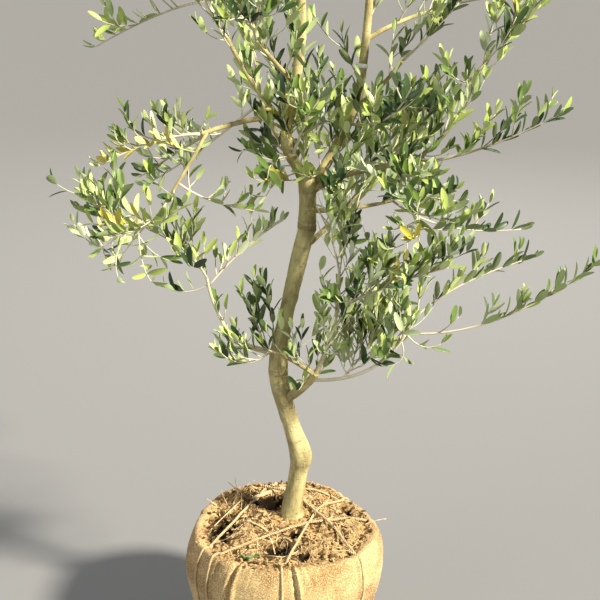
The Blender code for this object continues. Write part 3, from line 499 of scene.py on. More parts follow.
# Roots that stand up: place, reach and radius.
STANDING_ROOTS = (
    ((-0.138, 0.075), (-0.024, 0.004, 0.016), 0.0014),
    ((-0.118, 0.075), (-0.012, 0.004, 0.034), 0.0010),
    ((-0.100, 0.100), (-0.004, 0.006, 0.040), 0.0009),
    ((-0.085, 0.112), (0.010, 0.004, 0.016), 0.0008),
    ((0.148, 0.010), (0.047, -0.004, 0.017), 0.0016),
    ((-0.089, 0.071), (-0.030, 0.040, 0.018), 0.0019),
    ((-0.125, 0.060), (-0.018, -0.006, 0.006), 0.0008),
    ((-0.060, 0.130), (-0.006, 0.010, 0.012), 0.0007),
    ((0.095, 0.115), (0.012, 0.006, 0.008), 0.0007),
)
# Sticks that lie on the soil: start, end and radius.
STICKS = (
    ((-0.036, -0.051), (-0.020, -0.086), 0.0017),
    ((-0.090, -0.003), (-0.036, -0.033), 0.0017),
    ((-0.150, -0.003), (-0.091, 0.067), 0.0010),
    ((0.069, 0.075), (0.129, 0.024), 0.0018),
    ((-0.044, -0.104), (-0.001, -0.124), 0.0009),
    ((-0.009, -0.051), (0.012, -0.079), 0.0011),
)
WEED_LEAVES = 5
WEED_LEAF_LENGTHS = (0.009, 0.015)
WEEDS = ((-0.072, -0.112), (-0.060, -0.118), (-0.004, -0.112))

# Two-ply jute.
STRING_SIDE_STEPS = 160
STRING_STEP = 0.0025
STRING_SINK = 0.80
STRING_WANDER = 0.0014
STRING_SPACING = 0.004
SWAY_SCALE = 45
SWAY_APART = (Vector((0, 0, 0)), Vector((31, 17, 5)), Vector((7, 41, 23)))
PLY_RADIUS = 0.00150
PLY_OFFSET = 0.00118
PLY_PITCH = 0.0095
PLY_STEPS = 9
PLY_SIDES = 7
HAIRS_PER_METRE = 260
HAIR_LENGTHS = (0.002, 0.006)
HAIR_RADIUS = 0.00012
STRAP_ROUTE = ((-0.068, 0.080), (-0.012, 0.126), (0.037, 0.120), (0.110, 0.098))
STRAP_RADII = ((0.0, 0.0042), (0.35, 0.0050), (0.5, 0.0026), (1.0, 0.0020))
STRAP_SPACING = 0.0035
STRAP_SIDES = 14
STRAP_FLATNESS = 0.72
STRAP_GRAIN_RADIUS = 0.003
TAPE_SIDES = 24
TAPE_FIT = 1.08
TAPE_TURNS = ((1.163, 1.177, 0.0008), (1.181, 1.196, 0.0007))

# The studio.
FLOOR_SIZE = 120.0
FLOOR_COLOUR = (0.20, 0.20, 0.20)
CAMERA_PLACE = (0.027, -2.046, 1.500)
CAMERA_TURN = (math.radians(70), 0, 0)
CAMERA_LENS = 72.0
CAMERA_SENSOR = 36.0
WORLD_COLOUR = (0.88, 0.89, 0.92)
WORLD_STRENGTH = 0.37
KEY_FROM = (2.95, -1.8, 2.45)
KEY_STRENGTH = 10.0
KEY_SOFTNESS = math.radians(7)
KEY_COLOUR = (1.00, 0.94, 0.82)
LIGHTS = {
    "fill_light": ((-3.2, -2.6, 2.2), (0.0, 0.0, 0.8), 2.4, 60, (0.86, 0.92, 1.00)),
    "back_light": ((0.8, 3.4, 2.8), (0.0, 0.0, 1.0), 2.0, 90, (1.00, 0.97, 0.90)),
}


# Paths and meshes


def steps(count):
    """Shares from 0 to 1 in count equal steps."""
    return [i / count for i in range(count + 1)]


def blend(low, high, share):
    return low + (high - low) * share


def between_rows(rows, at):
    """The value at a place, from rows of (place, value)."""
    for (low, before), (high, after) in zip(rows, rows[1:]):
        if at <= high:
            break
    return blend(before, after, (at - low) / (high - low))


def hump(value, middle, width):
    """A smooth bump of height 1 at the middle."""
    return math.exp(-(((value - middle) / width) ** 2))


def smooth_station(before, start, end, after, share):
    """A point on the smooth curve through four stations, between the middle two."""
    return 0.5 * (
        2 * start
        + (end - before) * share
        + (2 * before - 5 * start + 4 * end - after) * share**2
        + (3 * start - before - 3 * end + after) * share**3
    )


def smooth_curve(stations, per_station):
    """Rows along a smooth curve through all the stations."""
    rows = [Vector(row) for row in stations]
    rows = [2 * rows[0] - rows[1], *rows, 2 * rows[-1] - rows[-2]]
    smooth = [rows[1]]
    for i in range(1, len(rows) - 2):
        for share in steps(per_station)[1:]:
            smooth.append(smooth_station(*rows[i - 1 : i + 3], share))
    return smooth


def station_path(stations, per_station):
    """Points and radii along a smooth curve through the stations."""
    smooth = smooth_curve(stations, per_station)
    return [row.to_3d() for row in smooth], [row.w for row in smooth]


def bowed_path(root, reach, bow, count):
    """Points from root to root + reach along a curve whose middle stands off by bow."""
    return [root + reach * share + bow * (4 * share * (1 - share)) for share in steps(count)]


def length_of(points):
    return sum((b - a).length for a, b in zip(points, points[1:]))


def point_along(points, share):
    """The point at a share of a path's length, and the path's direction there."""
    left = share * length_of(points)
    for a, b in zip(points, points[1:]):
        length = (b - a).length
        if left <= length:
            break
        left -= length
    else:
        left = length
    return a.lerp(b, left / length), (b - a).normalized()


def directions(points):
    """The path's direction at each of its points."""
    ends = zip([points[0], *points[:-1]], [*points[1:], points[-1]])
    return [(after - before).normalized() for before, after in ends]


def square_to(direction, rough=UP):
    """A unit vector square to the direction, as near as can be to the rough one."""
    across = rough - direction * rough.dot(direction)
    if across.length < NEARLY_UPRIGHT:
        across = Vector((1, 0, 0)) - direction * direction.x
    return across.normalized()


def turns_round(count):
    """Turns at an even spacing once round."""
    return [ROUND * k / count for k in range(count)]


def outwards(turn):
    """The level direction at a turn."""
    return Vector((math.cos(turn), math.sin(turn), 0))


def frames_along(points, foot=None):
    """Each point of a path with two directions square to it and the distance travelled."""
    along = directions(points)
    along[0] = foot or along[0]
    across = square_to(along[0])
    frames, travelled = [], 0
    for i, (point, direction) in enumerate(zip(points, along)):
        travelled += (point - points[i - 1]).length if i else 0
        across = (across - direction * across.dot(direction)).normalized()
        frames.append((point, across, direction.cross(across), travelled))
    return frames


def ringed(rings):
    """Vertices and faces of a closed body from rings of points, first and last capped."""
    sides = len(rings[0])
    vertices = [point for ring in rings for point in ring]
    faces = [tuple(range(sides))[::-1]]
    for row in range(len(rings) - 1):
        for k in range(sides):
            low, next_low = row * sides + k, row * sides + (k + 1) % sides
            faces.append((low, next_low, next_low + sides, low + sides))
    last = (len(rings) - 1) * sides
    faces.append(tuple(range(last, last + sides)))
    return vertices, faces


class Heap:
    """Many shapes that end up as one mesh, with a finish for each face."""

    def __init__(self):
        self.vertices = []
        self.faces = []
        self.finishes = []

    def add(self, vertices, faces, finish=0):
        start = len(self.vertices)
        self.vertices += vertices
        self.faces += [tuple(start + corner for corner in face) for face in faces]
        self.finishes += [finish] * len(faces)

    def tube(self, points, radii, sides, foot=None):
        """Adds a closed tube and returns (turn, distance along) for each of its vertices."""
        rings, places = [], []
        turns = turns_round(sides)
        for (point, across, other, travelled), radius in zip(frames_along(points, foot), radii):
            spokes = [math.cos(turn) * across + math.sin(turn) * other for turn in turns]
            rings.append([point + radius * spoke for spoke in spokes])
            places += [(turn, travelled) for turn in turns]
        self.add(*ringed(rings))
        return places

    def piece(self, name, finishes, smooth=True):
        """Makes the mesh object."""
        mesh = bpy.data.meshes.new(name)
        mesh.from_pydata(self.vertices, [], self.faces)
        for finish in finishes:
            mesh.materials.append(finish)
        mesh.polygons.foreach_set("material_index", self.finishes)
        if smooth:
            mesh.shade_smooth()
        mesh.update()
        return show(name, mesh)


def show(name, data):
    """Puts an object in the scene."""
    thing = bpy.data.objects.new(name, data)
    bpy.context.scene.collection.objects.link(thing)
    return thing


def set_attribute(thing, name, kind, values):
    """Writes one value or vector for each vertex."""
    attribute = thing.data.attributes.new(name, kind, "POINT")
    flat = [part for value in values for part in value] if kind == "FLOAT_VECTOR" else values
    attribute.data.foreach_set("vector" if kind == "FLOAT_VECTOR" else "value", flat)


def surface_of(thing):
    mesh = thing.data
    return BVHTree.FromPolygons([v.co for v in mesh.vertices], [p.vertices for p in mesh.polygons])


def dress(thing, slot, *nodes):
    """The piece rides on the plant and stands for its solids, which are hidden; the slot is not used."""
    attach(thing, "root")
    if nodes:
        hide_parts(*nodes)
    return thing


# Finishes


class Wire:
    """A node's output. Arithmetic on it adds Math nodes, so height * 0.2 and 1 - mask both work."""

    def __init__(self, finish, socket):
        self.finish = finish
        self.socket = socket

    def maths(self, operation, *values):
        return self.finish.node("ShaderNodeMath", {"operation": operation}, dict(enumerate(values)))

    def __add__(self, other):
        return self.maths("ADD", self, other)

    def __sub__(self, other):
        return self.maths("SUBTRACT", self, other)

    def __rsub__(self, other):
        return self.maths("SUBTRACT", other, self)

    def __mul__(self, other):
        return self.maths("MULTIPLY", self, other)

    def __pow__(self, other):
        return self.maths("POWER", self, other)

    __radd__ = __add__
    __rmul__ = __mul__

    def sine(self):
        return self.maths("SINE", self)

    def size(self):
        return self.maths("ABSOLUTE", self)

    def between(self, low, high):
        """0 below low, 1 above high, and smooth between them."""
        sockets = {"Value": self, "From Min": low, "From Max": high}
        return self.finish.node("ShaderNodeMapRange", {"interpolation_type": "SMOOTHSTEP"}, sockets)


class Finish:
    """One material, and the nodes that give it its pattern."""

    def __init__(self, name, **constants):
        self.material = bpy.data.materials.new(name)
        self.material.use_nodes = True
        self.tree = self.material.node_tree
        self.shader = self.tree.nodes["Principled BSDF"]
        for socket, value in constants.items():
            self.set(socket.replace("_", " ").title().replace("Ior", "IOR"), value)

    def plug(self, socket, value):
        if isinstance(value, Wire):
            self.tree.links.new(value.socket, socket)
        elif isinstance(value, tuple) and socket.type == "RGBA":
            socket.default_value = (*value, 1)
        else:
            socket.default_value = value

    def set(self, socket, value):
        """Gives one of the shader's sockets a value or a link."""
        self.plug(self.shader.inputs[socket], value)

    def node(self, kind, settings, sockets, output=0):
        """Adds a node: first its settings, then its sockets' values and links."""
        made = self.tree.nodes.new(kind)
        for name, value in settings.items():
            setattr(made, name, value)
        for name, value in sockets.items():
            self.plug(made.inputs[name], value)
        return Wire(self, made.outputs[output])

    def carried(self, name, output="Fac"):
        """A number, or as a Vector coordinates, that the piece carries with it."""
        settings = {"attribute_name": name, "attribute_type": "GEOMETRY"}
        return self.node("ShaderNodeAttribute", settings, {}, output)

    def place(self):
        return self.node("ShaderNodeTexCoord", {}, {}, "Object")

    def stretched(self, place, scale):
        return self.node("ShaderNodeMapping", {}, {"Vector": place, "Scale": scale})

    def noise(self, place, scale, detail=3.0, rough=0.55, warp=0.0):
        """Noise at one scale, or at one for each axis."""
        if isinstance(scale, tuple):
            place, scale = self.stretched(place, scale), 1.0
        sockets = {"Vector": place, "Scale": scale, "Detail": detail}
        sockets |= {"Roughness": rough, "Distortion": warp}
        return self.node("ShaderNodeTexNoise", {}, sockets)

    def cells(self, place, scale):
        """The distance to the middle of scattered cells, with a scale for each axis."""
        return self.node("ShaderNodeTexVoronoi", {}, {"Vector": self.stretched(place, scale), "Scale": 1.0})

    def mix(self, share, low, high):
        """A colour from low to high."""
        return self.node("ShaderNodeMix", {"data_type": "RGBA"}, {0: share, 6: low, 7: high}, 2)

    def relief(self, height, depth):
        """Turns a height from 0 to 1 into a relief of that depth in metres."""
        self.set("Normal", self.node("ShaderNodeBump", {}, {"Height": height, "Distance": depth}))


def bark_finish():
    """Smooth, pale young bark with darker blotches, fine cracks and ring marks."""
    finish = Finish("olive_bark", roughness=0.8, specular_ior_level=0.3)
    grain = finish.carried("grain", "Vector")
    blotches = finish.noise(grain, (34, 34, 15), 4.0, 0.6)
    streaks = finish.noise(grain, (420, 420, 55), 3.0, 0.6, 0.4)
    marks = finish.noise(grain, (70, 70, 520), 2.0, 0.5)
    dots = finish.cells(grain, (300, 300, 170))
    rings = marks.between(0.60, 0.72)
    specks = 1 - dots.between(0.10, 0.22)
    colour = finish.mix(blotches.between(0.36, 0.66), (0.280, 0.232, 0.092), (0.500, 0.438, 0.198))
    colour = finish.mix(streaks.between(0.44, 0.70) * 0.40, colour, (0.560, 0.490, 0.265))
    colour = finish.mix(rings * 0.38, colour, (0.175, 0.120, 0.055))
    colour = finish.mix(specks * 0.30, colour, (0.160, 0.120, 0.070))
    knots = finish.carried("scar")
    colour = finish.mix(knots * 0.75, colour, (0.165, 0.092, 0.045))
    colour = finish.mix(finish.carried("pale") * 0.75, colour, (0.720, 0.660, 0.500))
    finish.set("Base Color", colour)
    finish.set("Roughness", 0.72 + streaks * 0.2)
    finish.relief(streaks * 0.55 + blotches * 0.25 - rings * 0.45 - specks * 0.2, 0.0016)
    return finish.material


def cloth_finish():
    """Coarse golden burlap: a plain weave with slubs, stains, paler worn threads and painted shade between
    its threads.
    """
    finish = Finish("burlap_cloth", roughness=0.95, sheen_weight=0.08, specular_ior_level=0.15)
    cloth = finish.node("ShaderNodeUVMap", {"uv_map": "cloth"}, {})
    wander = finish.noise(cloth, (60, 60, 1), 2.0, 0.5)
    across, up = (
        (finish.node("ShaderNodeSeparateXYZ", {}, {0: cloth}, axis) + wander * THREAD_WANDER)
        * (ROUND / CLOTH_PITCH)
        for axis in (0, 1)
    )
    weave = across.sine() * up.sine() * 0.5 + 0.5
    gaps = (1 - (across * 0.5).sine().size() ** 2) * (1 - (up * 0.5).sine().size() ** 2)
    slubs = finish.noise(cloth, (90, 520, 1), 2.0, 0.6)
    fluff = finish.noise(cloth, (380, 380, 1), 3.0, 0.7)
    stains = finish.noise(cloth, (11, 14, 1), 4.0, 0.6)
    colour = finish.mix(stains.between(0.34, 0.68), (0.310, 0.168, 0.048), (0.640, 0.462, 0.200))
    colour = finish.mix(fluff.between(0.51, 0.64) * 0.80, colour, (0.900, 0.760, 0.470))
    colour = finish.mix((1 - fluff.between(0.37, 0.49)) * 0.75, colour, (0.190, 0.105, 0.036))
    colour = finish.mix(slubs.between(0.58, 0.75) * 0.30, colour, (0.760, 0.590, 0.330))
    # Painted shade: the gaps between the threads are darkened.
    colour = finish.mix(gaps.between(0.55, 0.95) * 0.55, colour, (0.120, 0.060, 0.020))
    soiled = finish.carried("soiled")
    grit = finish.noise(cloth, (150, 150, 1), 4.0, 0.7)
    colour = finish.mix(soiled * grit.between(0.38, 0.54), colour, (0.330, 0.190, 0.070))
    finish.set("Base Color", colour)
    finish.set("Roughness", 0.88 + fluff * 0.1)
    finish.relief(weave * 0.5 + fluff * 0.4 + slubs * 0.2 - gaps * 0.3, 0.0012)
    return finish.material


def soil_finish():
    """Dry, fibrous tan soil on top, painted near black as shade in the hollows, the low crevices and the
    sides inside the cloth.
    """
    finish = Finish("root_soil", roughness=0.97, specular_ior_level=0.1)
    place = finish.place()
    lumps = finish.noise(place, 55.0, 5.0, 0.65)
    crumbs = finish.noise(place, 260.0, 4.0, 0.7)
    fibres = finish.noise(place, (900, 240, 500), 2.0, 0.6, 2.5)
    colour = finish.mix(crumbs.between(0.36, 0.60), (0.060, 0.030, 0.010), (0.390, 0.235, 0.088))
    colour = finish.mix(lumps.between(0.42, 0.66) * 0.65, colour, (0.570, 0.390, 0.165))
    colour = finish.mix(fibres.between(0.56, 0.66) * 0.65, colour, (0.700, 0.530, 0.270))
    # Painted shade: the soil goes near black where it lies in shade.
    hollow = finish.carried("hollow")
    colour = finish.mix(hollow * 0.985, colour, (0.008, 0.004, 0.002))
    finish.set("Base Color", colour)
    finish.set("Roughness", 1 - fibres * 0.1)
    finish.relief(crumbs * 0.7 + lumps * 0.3, 0.004)
    return finish.material


def crumb_finish(name, colour):
    """Dry crumbs with darker pores."""
    finish = Finish(name, roughness=0.97, specular_ior_level=0.1)
    place = finish.place()
    crumbs = finish.noise(place, 700.0, 3.0, 0.65)
    shade = tuple(part * 0.45 for part in colour)
    finish.set("Base Color", finish.mix(crumbs.between(0.30, 0.65), shade, colour))
    finish.relief(crumbs, 0.0012)
    return finish.material


def root_finish():
    """Pale, dry roots, darker where soil clings to them."""
    finish = Finish("dry_root", roughness=0.85, specular_ior_level=0.2)
    place = finish.place()
    cling = finish.noise(place, 120.0, 3.0, 0.6)
    colour = finish.mix(cling.between(0.34, 0.56), (0.360, 0.230, 0.110), (0.700, 0.540, 0.300))
    finish.set("Base Color", colour)
    finish.relief(cling, 0.0006)
    return finish.material


def string_finish():
    """Pale jute with loose darker fibres along its plies."""
    finish = Finish("jute_string", roughness=0.9, sheen_weight=0.3, specular_ior_level=0.15)
    grain = finish.carried("grain", "Vector")
    fibres = finish.noise(grain, (1800, 1800, 130), 2.0, 0.6)
    wear = finish.noise(grain, (60, 60, 22), 3.0, 0.6)
    colour = finish.mix(fibres.between(0.34, 0.66), (0.340, 0.222, 0.094), (0.640, 0.490, 0.260))
    colour = finish.mix(wear.between(0.52, 0.74) * 0.5, colour, (0.290, 0.180, 0.075))
    finish.set("Base Color", colour)
    finish.set("Roughness", 0.85 + fibres * 0.12)
    finish.relief(fibres, 0.0006)
    return finish.material


def plain_finish(name, colour, **constants):
    finish = Finish(name, **constants)
    finish.set("Base Color", colour)
    return finish.material


# The trunk, leaders and boughs


# A limb's coarse path and radii, as the solids have them, for what grows from it.
Limb = namedtuple("Limb", "points radii")


# The trunk's knots: distance along, turn, height and size. Its old rings: distance along and height.
TRUNK_KNOTS = (
    (0.142, 1.2, 0.0042, 0.011),
    (0.232, 3.9, 0.0022, 0.009),
    (0.335, 5.6, 0.0020, 0.008),
    (0.470, 0.4, 0.0024, 0.009),
    (0.655, 0.9, 0.0026, 0.008),
)
TRUNK_RINGS = ((0.320, 1.6), (0.3255, 1.2), (0.605, 2.4), (0.6105, 1.8))
RING_SPACING = (0.018, 0.040)
RING_REACH = 0.010
RING_SIZES = (0.2, 1.0)
RING_WIDTH = 0.0016
RING_WANDER = 0.002
RING_HEIGHT = 0.00042
BARK_WAVES = ((55, 16, 0.075), (260, 70, 0.018))
COLLAR_WIDTH = 2.2
GRAIN_APART = Vector((0.31, 0.17, 0.23))
BOUGH_COLLAR = 0.16
PALE_LIMBS = {"bare_bough": 1.0, "low_left_rise": 0.7, "low_left_bough": 0.5, "right_inner_bough": 0.4}


def ring_scars(name, length):
    """Where a limb's ring scars lie, and how far each stands out."""
    draw = random.Random(name + " rings")
    place, rows = draw.uniform(*RING_SPACING), []
    while place < length:
        rows.append((place, draw.uniform(*RING_SIZES)))
        place += draw.uniform(*RING_SPACING)
    return rows + list(TRUNK_RINGS) if name == "trunk" else rows


def rough_bark(name, points, radii, places, vertices, knots, collar):
    """Moves a limb's vertices to give its bark relief; returns its grain and how scarred it is."""
    sides = len(vertices) // len(points)
    scars = ring_scars(name, length_of(points))
    seed = Vector((len(name), 7 * radii[0], 3 * points[0].z)) * 10
    grain, scarred = [], []
    for i, ((turn, travelled), vertex) in enumerate(zip(places, vertices)):
        centre, radius = points[i // sides], radii[i // sides]
        out = (vertex - centre) / radius
        straight = Vector((radius * math.cos(turn), radius * math.sin(turn), travelled))
        uneven = sum(
            size * noise.noise(seed + Vector((straight.x * fast, straight.y * fast, travelled * slow)))
            for fast, slow, size in BARK_WAVES
        )
        ring = sum(
            size * hump(travelled, place + RING_WANDER * math.sin(turn + place * 90), RING_WIDTH)
            for place, size in scars
            if abs(travelled - place) < RING_REACH
        )
        swell = sum(
            height * hump(travelled, place, size) * hump(math.remainder(turn - at, ROUND), 0, size / radius)
            for place, at, height, size in knots
        )
        lift = radius * uneven + ring * RING_HEIGHT * min(1, radius / 0.008) + swell
        lift += radius * collar * hump(travelled, 0, COLLAR_WIDTH * radii[0])
        vertices[i] = vertex + out * lift
        grain.append(straight)
        scarred.append(min(1, ring * 0.55 + swell * 160))
    return grain, scarred


class Plant:
    """The plant's limbs and the one skin of bark that covers them."""

    def __init__(self):
        self.limbs = {}
        self.skin = Heap()
        self.grain = []
        self.scars = []
        self.pale = []

    def add(self, name, coarse, fine, sides, knots=(), collar=0.0, foot=None):
        """Adds a limb from its coarse and its fine (points, radii)."""
        self.limbs[name] = Limb(*coarse)
        start = len(self.skin.vertices)
        places = self.skin.tube(*fine, sides, foot)
        vertices = self.skin.vertices[start:]
        grain, scars = rough_bark(name, *fine, places, vertices, knots, collar)
        self.skin.vertices[start:] = vertices
        self.grain += [place + GRAIN_APART * len(self.limbs) for place in grain]
        self.scars += scars
        self.pale += [PALE_LIMBS.get(name, 0.0)] * len(scars)


def make_limbs():
    plant = Plant()
    rows = (
        ("trunk", TRUNK_STATIONS, 44, TRUNK_KNOTS, UP),
        ("left_leader", LEFT_LEADER_STATIONS, 26, (), None),
        ("right_leader", RIGHT_LEADER_STATIONS, 26, (), None),
    )
    for name, stations, sides, knots, foot in rows:
        coarse = station_path(stations, SOLID_STATION_STEPS)
        fine = station_path(stations, SKIN_STATION_STEPS)
        plant.add(name, coarse, fine, sides, knots, 0.0, foot)
    for row in BOUGHS:
        root, _ = point_along(plant.limbs[row.parent].points, row.share)
        paths = []
        for count in (SOLID_BOUGH_STEPS, SKIN_BOUGH_STEPS):
            points = bowed_path(root, Vector(row.reach), Vector(row.bow), count)
            radii = [blend(row.root_radius, row.tip_radius, share) for share in steps(count)]
            paths.append((points, radii))
        plant.add(row.name, *paths, 16, (), BOUGH_COLLAR)
    bark = plant.skin.piece("bark_limbs", [bark_finish()])
    set_attribute(bark, "grain", "FLOAT_VECTOR", plant.grain)
    set_attribute(bark, "scar", "FLOAT", plant.scars)
    set_attribute(bark, "pale", "FLOAT", plant.pale)
    dress(bark, "bark", *plant.limbs)
    return plant, surface_of(bark)


# Twigs and leaves


def stem_of(row, plant):
    """A mass's stem, from inside the limb that bears it to the mass's far tip."""
    parent = plant.limbs[row.parent]
    root, _ = point_along(parent.points, row.share)
    points = bowed_path(root, Vector(row.reach), Vector(row.bow), STEM_STEPS)
    bough_radius = blend(parent.radii[0], parent.radii[-1], row.share)
    low, high = STEM_RADIUS_LIMITS
    thick = max(low, min(high, STEM_TO_BOUGH * bough_radius))
    radii = [blend(thick, STEM_TIP_RADIUS, share) for share in steps(STEM_STEPS)]
    return points, radii


def shoot_count(stem):
    """How many side shoots the solid has on a stem."""
    return max(SHOOTS_AT_LEAST, round(length_of(stem) * (SHOOT_SPAN[1] - SHOOT_SPAN[0]) / SHOOT_SPACING))


def side_twigs(stem, count, span, lengths, kind, draw):
    """Twigs off a stem's sides as (points, radii), longest low down and curving upwards."""
    turn = draw.uniform(0, ROUND)
    twigs = []
    for i in range(count):
        share = blend(*span, (i + draw.uniform(*SHOOT_PLACE_SPREAD)) / count)
        root, along = point_along(stem, share)
        turn += GOLDEN_ANGLE + draw.uniform(-SHOOT_TURN_SPREAD, SHOOT_TURN_SPREAD)
        side = Quaternion(along, turn) @ square_to(along)
        if kind.rising:
            side.z = abs(side.z)
        lean = kind.lean * draw.uniform(*SHOOT_LEAN_SPREAD)
        aim = (along * math.cos(lean) + side * math.sin(lean) + UP * SHOOT_LIFT).normalized()
        size = draw.uniform(*lengths) * (1 - kind.shrink * share)
        points = bowed_path(root, aim * size, (side - UP) * size * SHOOT_BOW, kind.steps)
        twigs.append((points, [blend(*kind.radii, t) for t in steps(kind.steps)]))
    return twigs


def shoots_of(stem, longest, count, span, draw):
    lengths = [longest * size for size in SHOOT_LENGTH_SPREAD]
    return side_twigs(stem, count, span, lengths, SHOOT, draw)


def fine_twigs_of(shoot, fullness, draw):
    count = round(length_of(shoot) * (FINE_SPAN[1] - FINE_SPAN[0]) / FINE_SPACING * fullness)
    return side_twigs(shoot, count, FINE_SPAN, FINE_LENGTHS, FINE_TWIG, draw)


def leaves_of(twig, draw, bare):
    """The paired leaves of a twig as (base, aim, facing, size, whether it is at the tip)."""
    pairs = max(1, round(length_of(twig) * (1 - bare) / PAIR_SPACING))
    turn = draw.uniform(0, math.pi)
    rows = []
    for i in range(pairs):
        share = blend(bare, 1, (i + 1) / pairs)
        base, along = point_along(twig, share)
        turn += math.pi / 2 + draw.uniform(-LEAF_TURN_SPREAD, LEAF_TURN_SPREAD)
        tip = i >= pairs - 1
        for half_turn in (0, math.pi):
            side = Quaternion(along, turn + half_turn) @ square_to(along)
            size = LEAF_LENGTH * draw.uniform(*LEAF_LENGTH_SPREAD) * (TIP_LEAF_SIZE if tip else 1)
            lean = LEAF_ANGLE * draw.uniform(*LEAF_LEAN_SPREAD) * (TIP_LEAF_LEAN if tip else 1)
            lift = draw.uniform(*LEAF_LIFT_SPREAD)
            aim = (along * math.cos(lean) + side * math.sin(lean) + UP * lift).normalized()
            roll = Quaternion(aim, draw.uniform(-LEAF_ROLL, LEAF_ROLL))
            facing = roll @ square_to(aim, along + UP * LEAF_FACING_UP)
            if draw.random() > LEAF_LOSS:
                rows.append((base, aim, facing, size, tip))
    return rows


def add_leaf(heap, base, aim, facing, size, curl):
    """Adds one leaf: a folded, slightly curled blade with an upper and an under side."""
    across = aim.cross(facing)
    half = size * LEAF_WIDTH / 2

    def place(share, side):
        width = side[0] * half * side[1]
        bend = facing * (size * (abs(side[0]) * side[1] * LEAF_WIDTH * LEAF_FOLD - curl * share**2))
        return base + aim * (size * share) + across * width + bend

    upper = [base]
    for share, width in LEAF_OUTLINE:
        upper += [place(share, (side, width)) for side in (-1, 0, 1)]
    upper.append(place(1, (0, 0)))
    tip = len(upper) - 1
    faces = [(0, 2, 1), (0, 3, 2)]
    for low in range(1, tip - 3, 3):
        faces += [(low, low + 1, low + 4, low + 3), (low + 1, low + 2, low + 5, low + 4)]
    faces += [(tip - 3, tip - 2, tip), (tip - 2, tip - 1, tip)]
    heap.add(upper, faces, 0)
    under = [point - facing * LEAF_THICKNESS for point in upper]
    heap.add(under, [face[::-1] for face in faces], 1)


class Spaces:
    """Which mass each place belongs to: the one whose stem is nearest."""

    def __init__(self, stems):
        self.owners, samples = [], []
        for owner, stem in enumerate(stems):
            for a, b in zip(stem, stem[1:]):
                samples += [a.lerp(b, share) for share in steps(SPACE_SAMPLES)]
            self.owners += [owner] * (len(samples) - len(self.owners))
        self.tree = KDTree(len(samples))
        for index, point in enumerate(samples):
            self.tree.insert(point, index)
        self.tree.balance()

    def holds(self, owner, point):
        """Whether a place is this mass's own, to within the slack where two masses meet."""
        _, nearest, distance = self.tree.find(point)
        if self.owners[nearest] == owner:
            return True
        _, _, own = self.tree.find(point, filter=lambda index: self.owners[index] == owner)
        return own < distance + SPACE_SLACK


def runs_into(surface, start, end):
    """Whether a straight line meets a limb."""
    way = end - start
    return surface.ray_cast(start, way, way.length)[0] is not None


def in_box(point):
    """Whether a place lies in the box of the solids."""
    low, high = solid_box
    return all(low[i] <= point[i] <= high[i] for i in range(3))


def hides_limb(point, limbs):
    """Whether a place is in front of a limb where that stands clear of the leaves."""
    for name, low, high, beside in CLEAR_LIMBS:
        if low < point.z < high:
            axis = min(limbs[name].points, key=lambda place: abs(place.z - point.z))
            if abs(point.x - axis.x) < beside and point.y < axis.y:
                return True
    return False


def pick_tone(draw):
    """A spray's colour, by its share of all the sprays."""
    return draw.choices(list(LEAF_TONES), [row[2] for row in LEAF_TONES.values()])[0]


class Crown:
    """The twigs and leaves, each kind in a mesh of its own."""

    def __init__(self, bark):
        self.bark = bark
        self.woody = Heap()
        self.young = Heap()
        self.leaves = {name: Heap() for name in LEAF_TONES}

    def add_shoots(self, shoots, fullness, draw, room):
        """Adds shoots with their finer twigs and leaves, each where there is room for its tip."""
        for shoot, radii in shoots:
            if not room(shoot[-1]) or runs_into(self.bark, shoot[2], shoot[-1]):
                continue
            self.woody.tube(shoot, radii, SHOOT_SIDES)
            self.add_leaves(shoot, SHOOT_PAIRS_FROM, draw, room)
            for fine, fine_radii in fine_twigs_of(shoot, fullness, draw):
                if in_box(fine[-1]) and not runs_into(self.bark, fine[0], fine[-1]):
                    self.young.tube(fine, fine_radii, FINE_SIDES)
                    self.add_leaves(fine, FINE_PAIRS_FROM, draw, room)

    def add_leaves(self, twig, bare, draw, room):
        """Adds a twig's leaves, nearly all of one colour."""
        tone = pick_tone(draw)
        for base, aim, facing, size, tip in leaves_of(twig, draw, bare):
            end = base + aim * size
            shade = TIP_TONE if tip and draw.random() < TIP_TONE_SHARE else tone
            curl = draw.uniform(*LEAF_CURL_SPREAD)
            if room(end) and not runs_into(self.bark, base + aim * LEAF_STALK, end):
                add_leaf(self.leaves[shade], base, aim, facing, size, curl)

    def finish(self):
        """Makes the pieces; together they stand for the masses."""
        masses = [row.name for row in MASSES]
        wood = plain_finish("twig_wood", TWIG_COLOUR, roughness=0.75, specular_ior_level=0.3)
        green = plain_finish("young_twig", YOUNG_TWIG_COLOUR, roughness=0.7, specular_ior_level=0.3)
        dress(self.woody.piece("woody_twigs", [wood]), "bark", *masses)
        dress(self.young.piece("young_twigs", [green]), "bark", *masses)
        for name, heap in self.leaves.items():
            upper, under, _ = LEAF_TONES[name]
            finishes = [
                plain_finish(name + "_upper", upper, roughness=0.42, specular_ior_level=0.5),
                plain_finish(name + "_under", under, roughness=0.75, specular_ior_level=0.3),
            ]
            dress(heap.piece(name, finishes), "foliage", *masses)


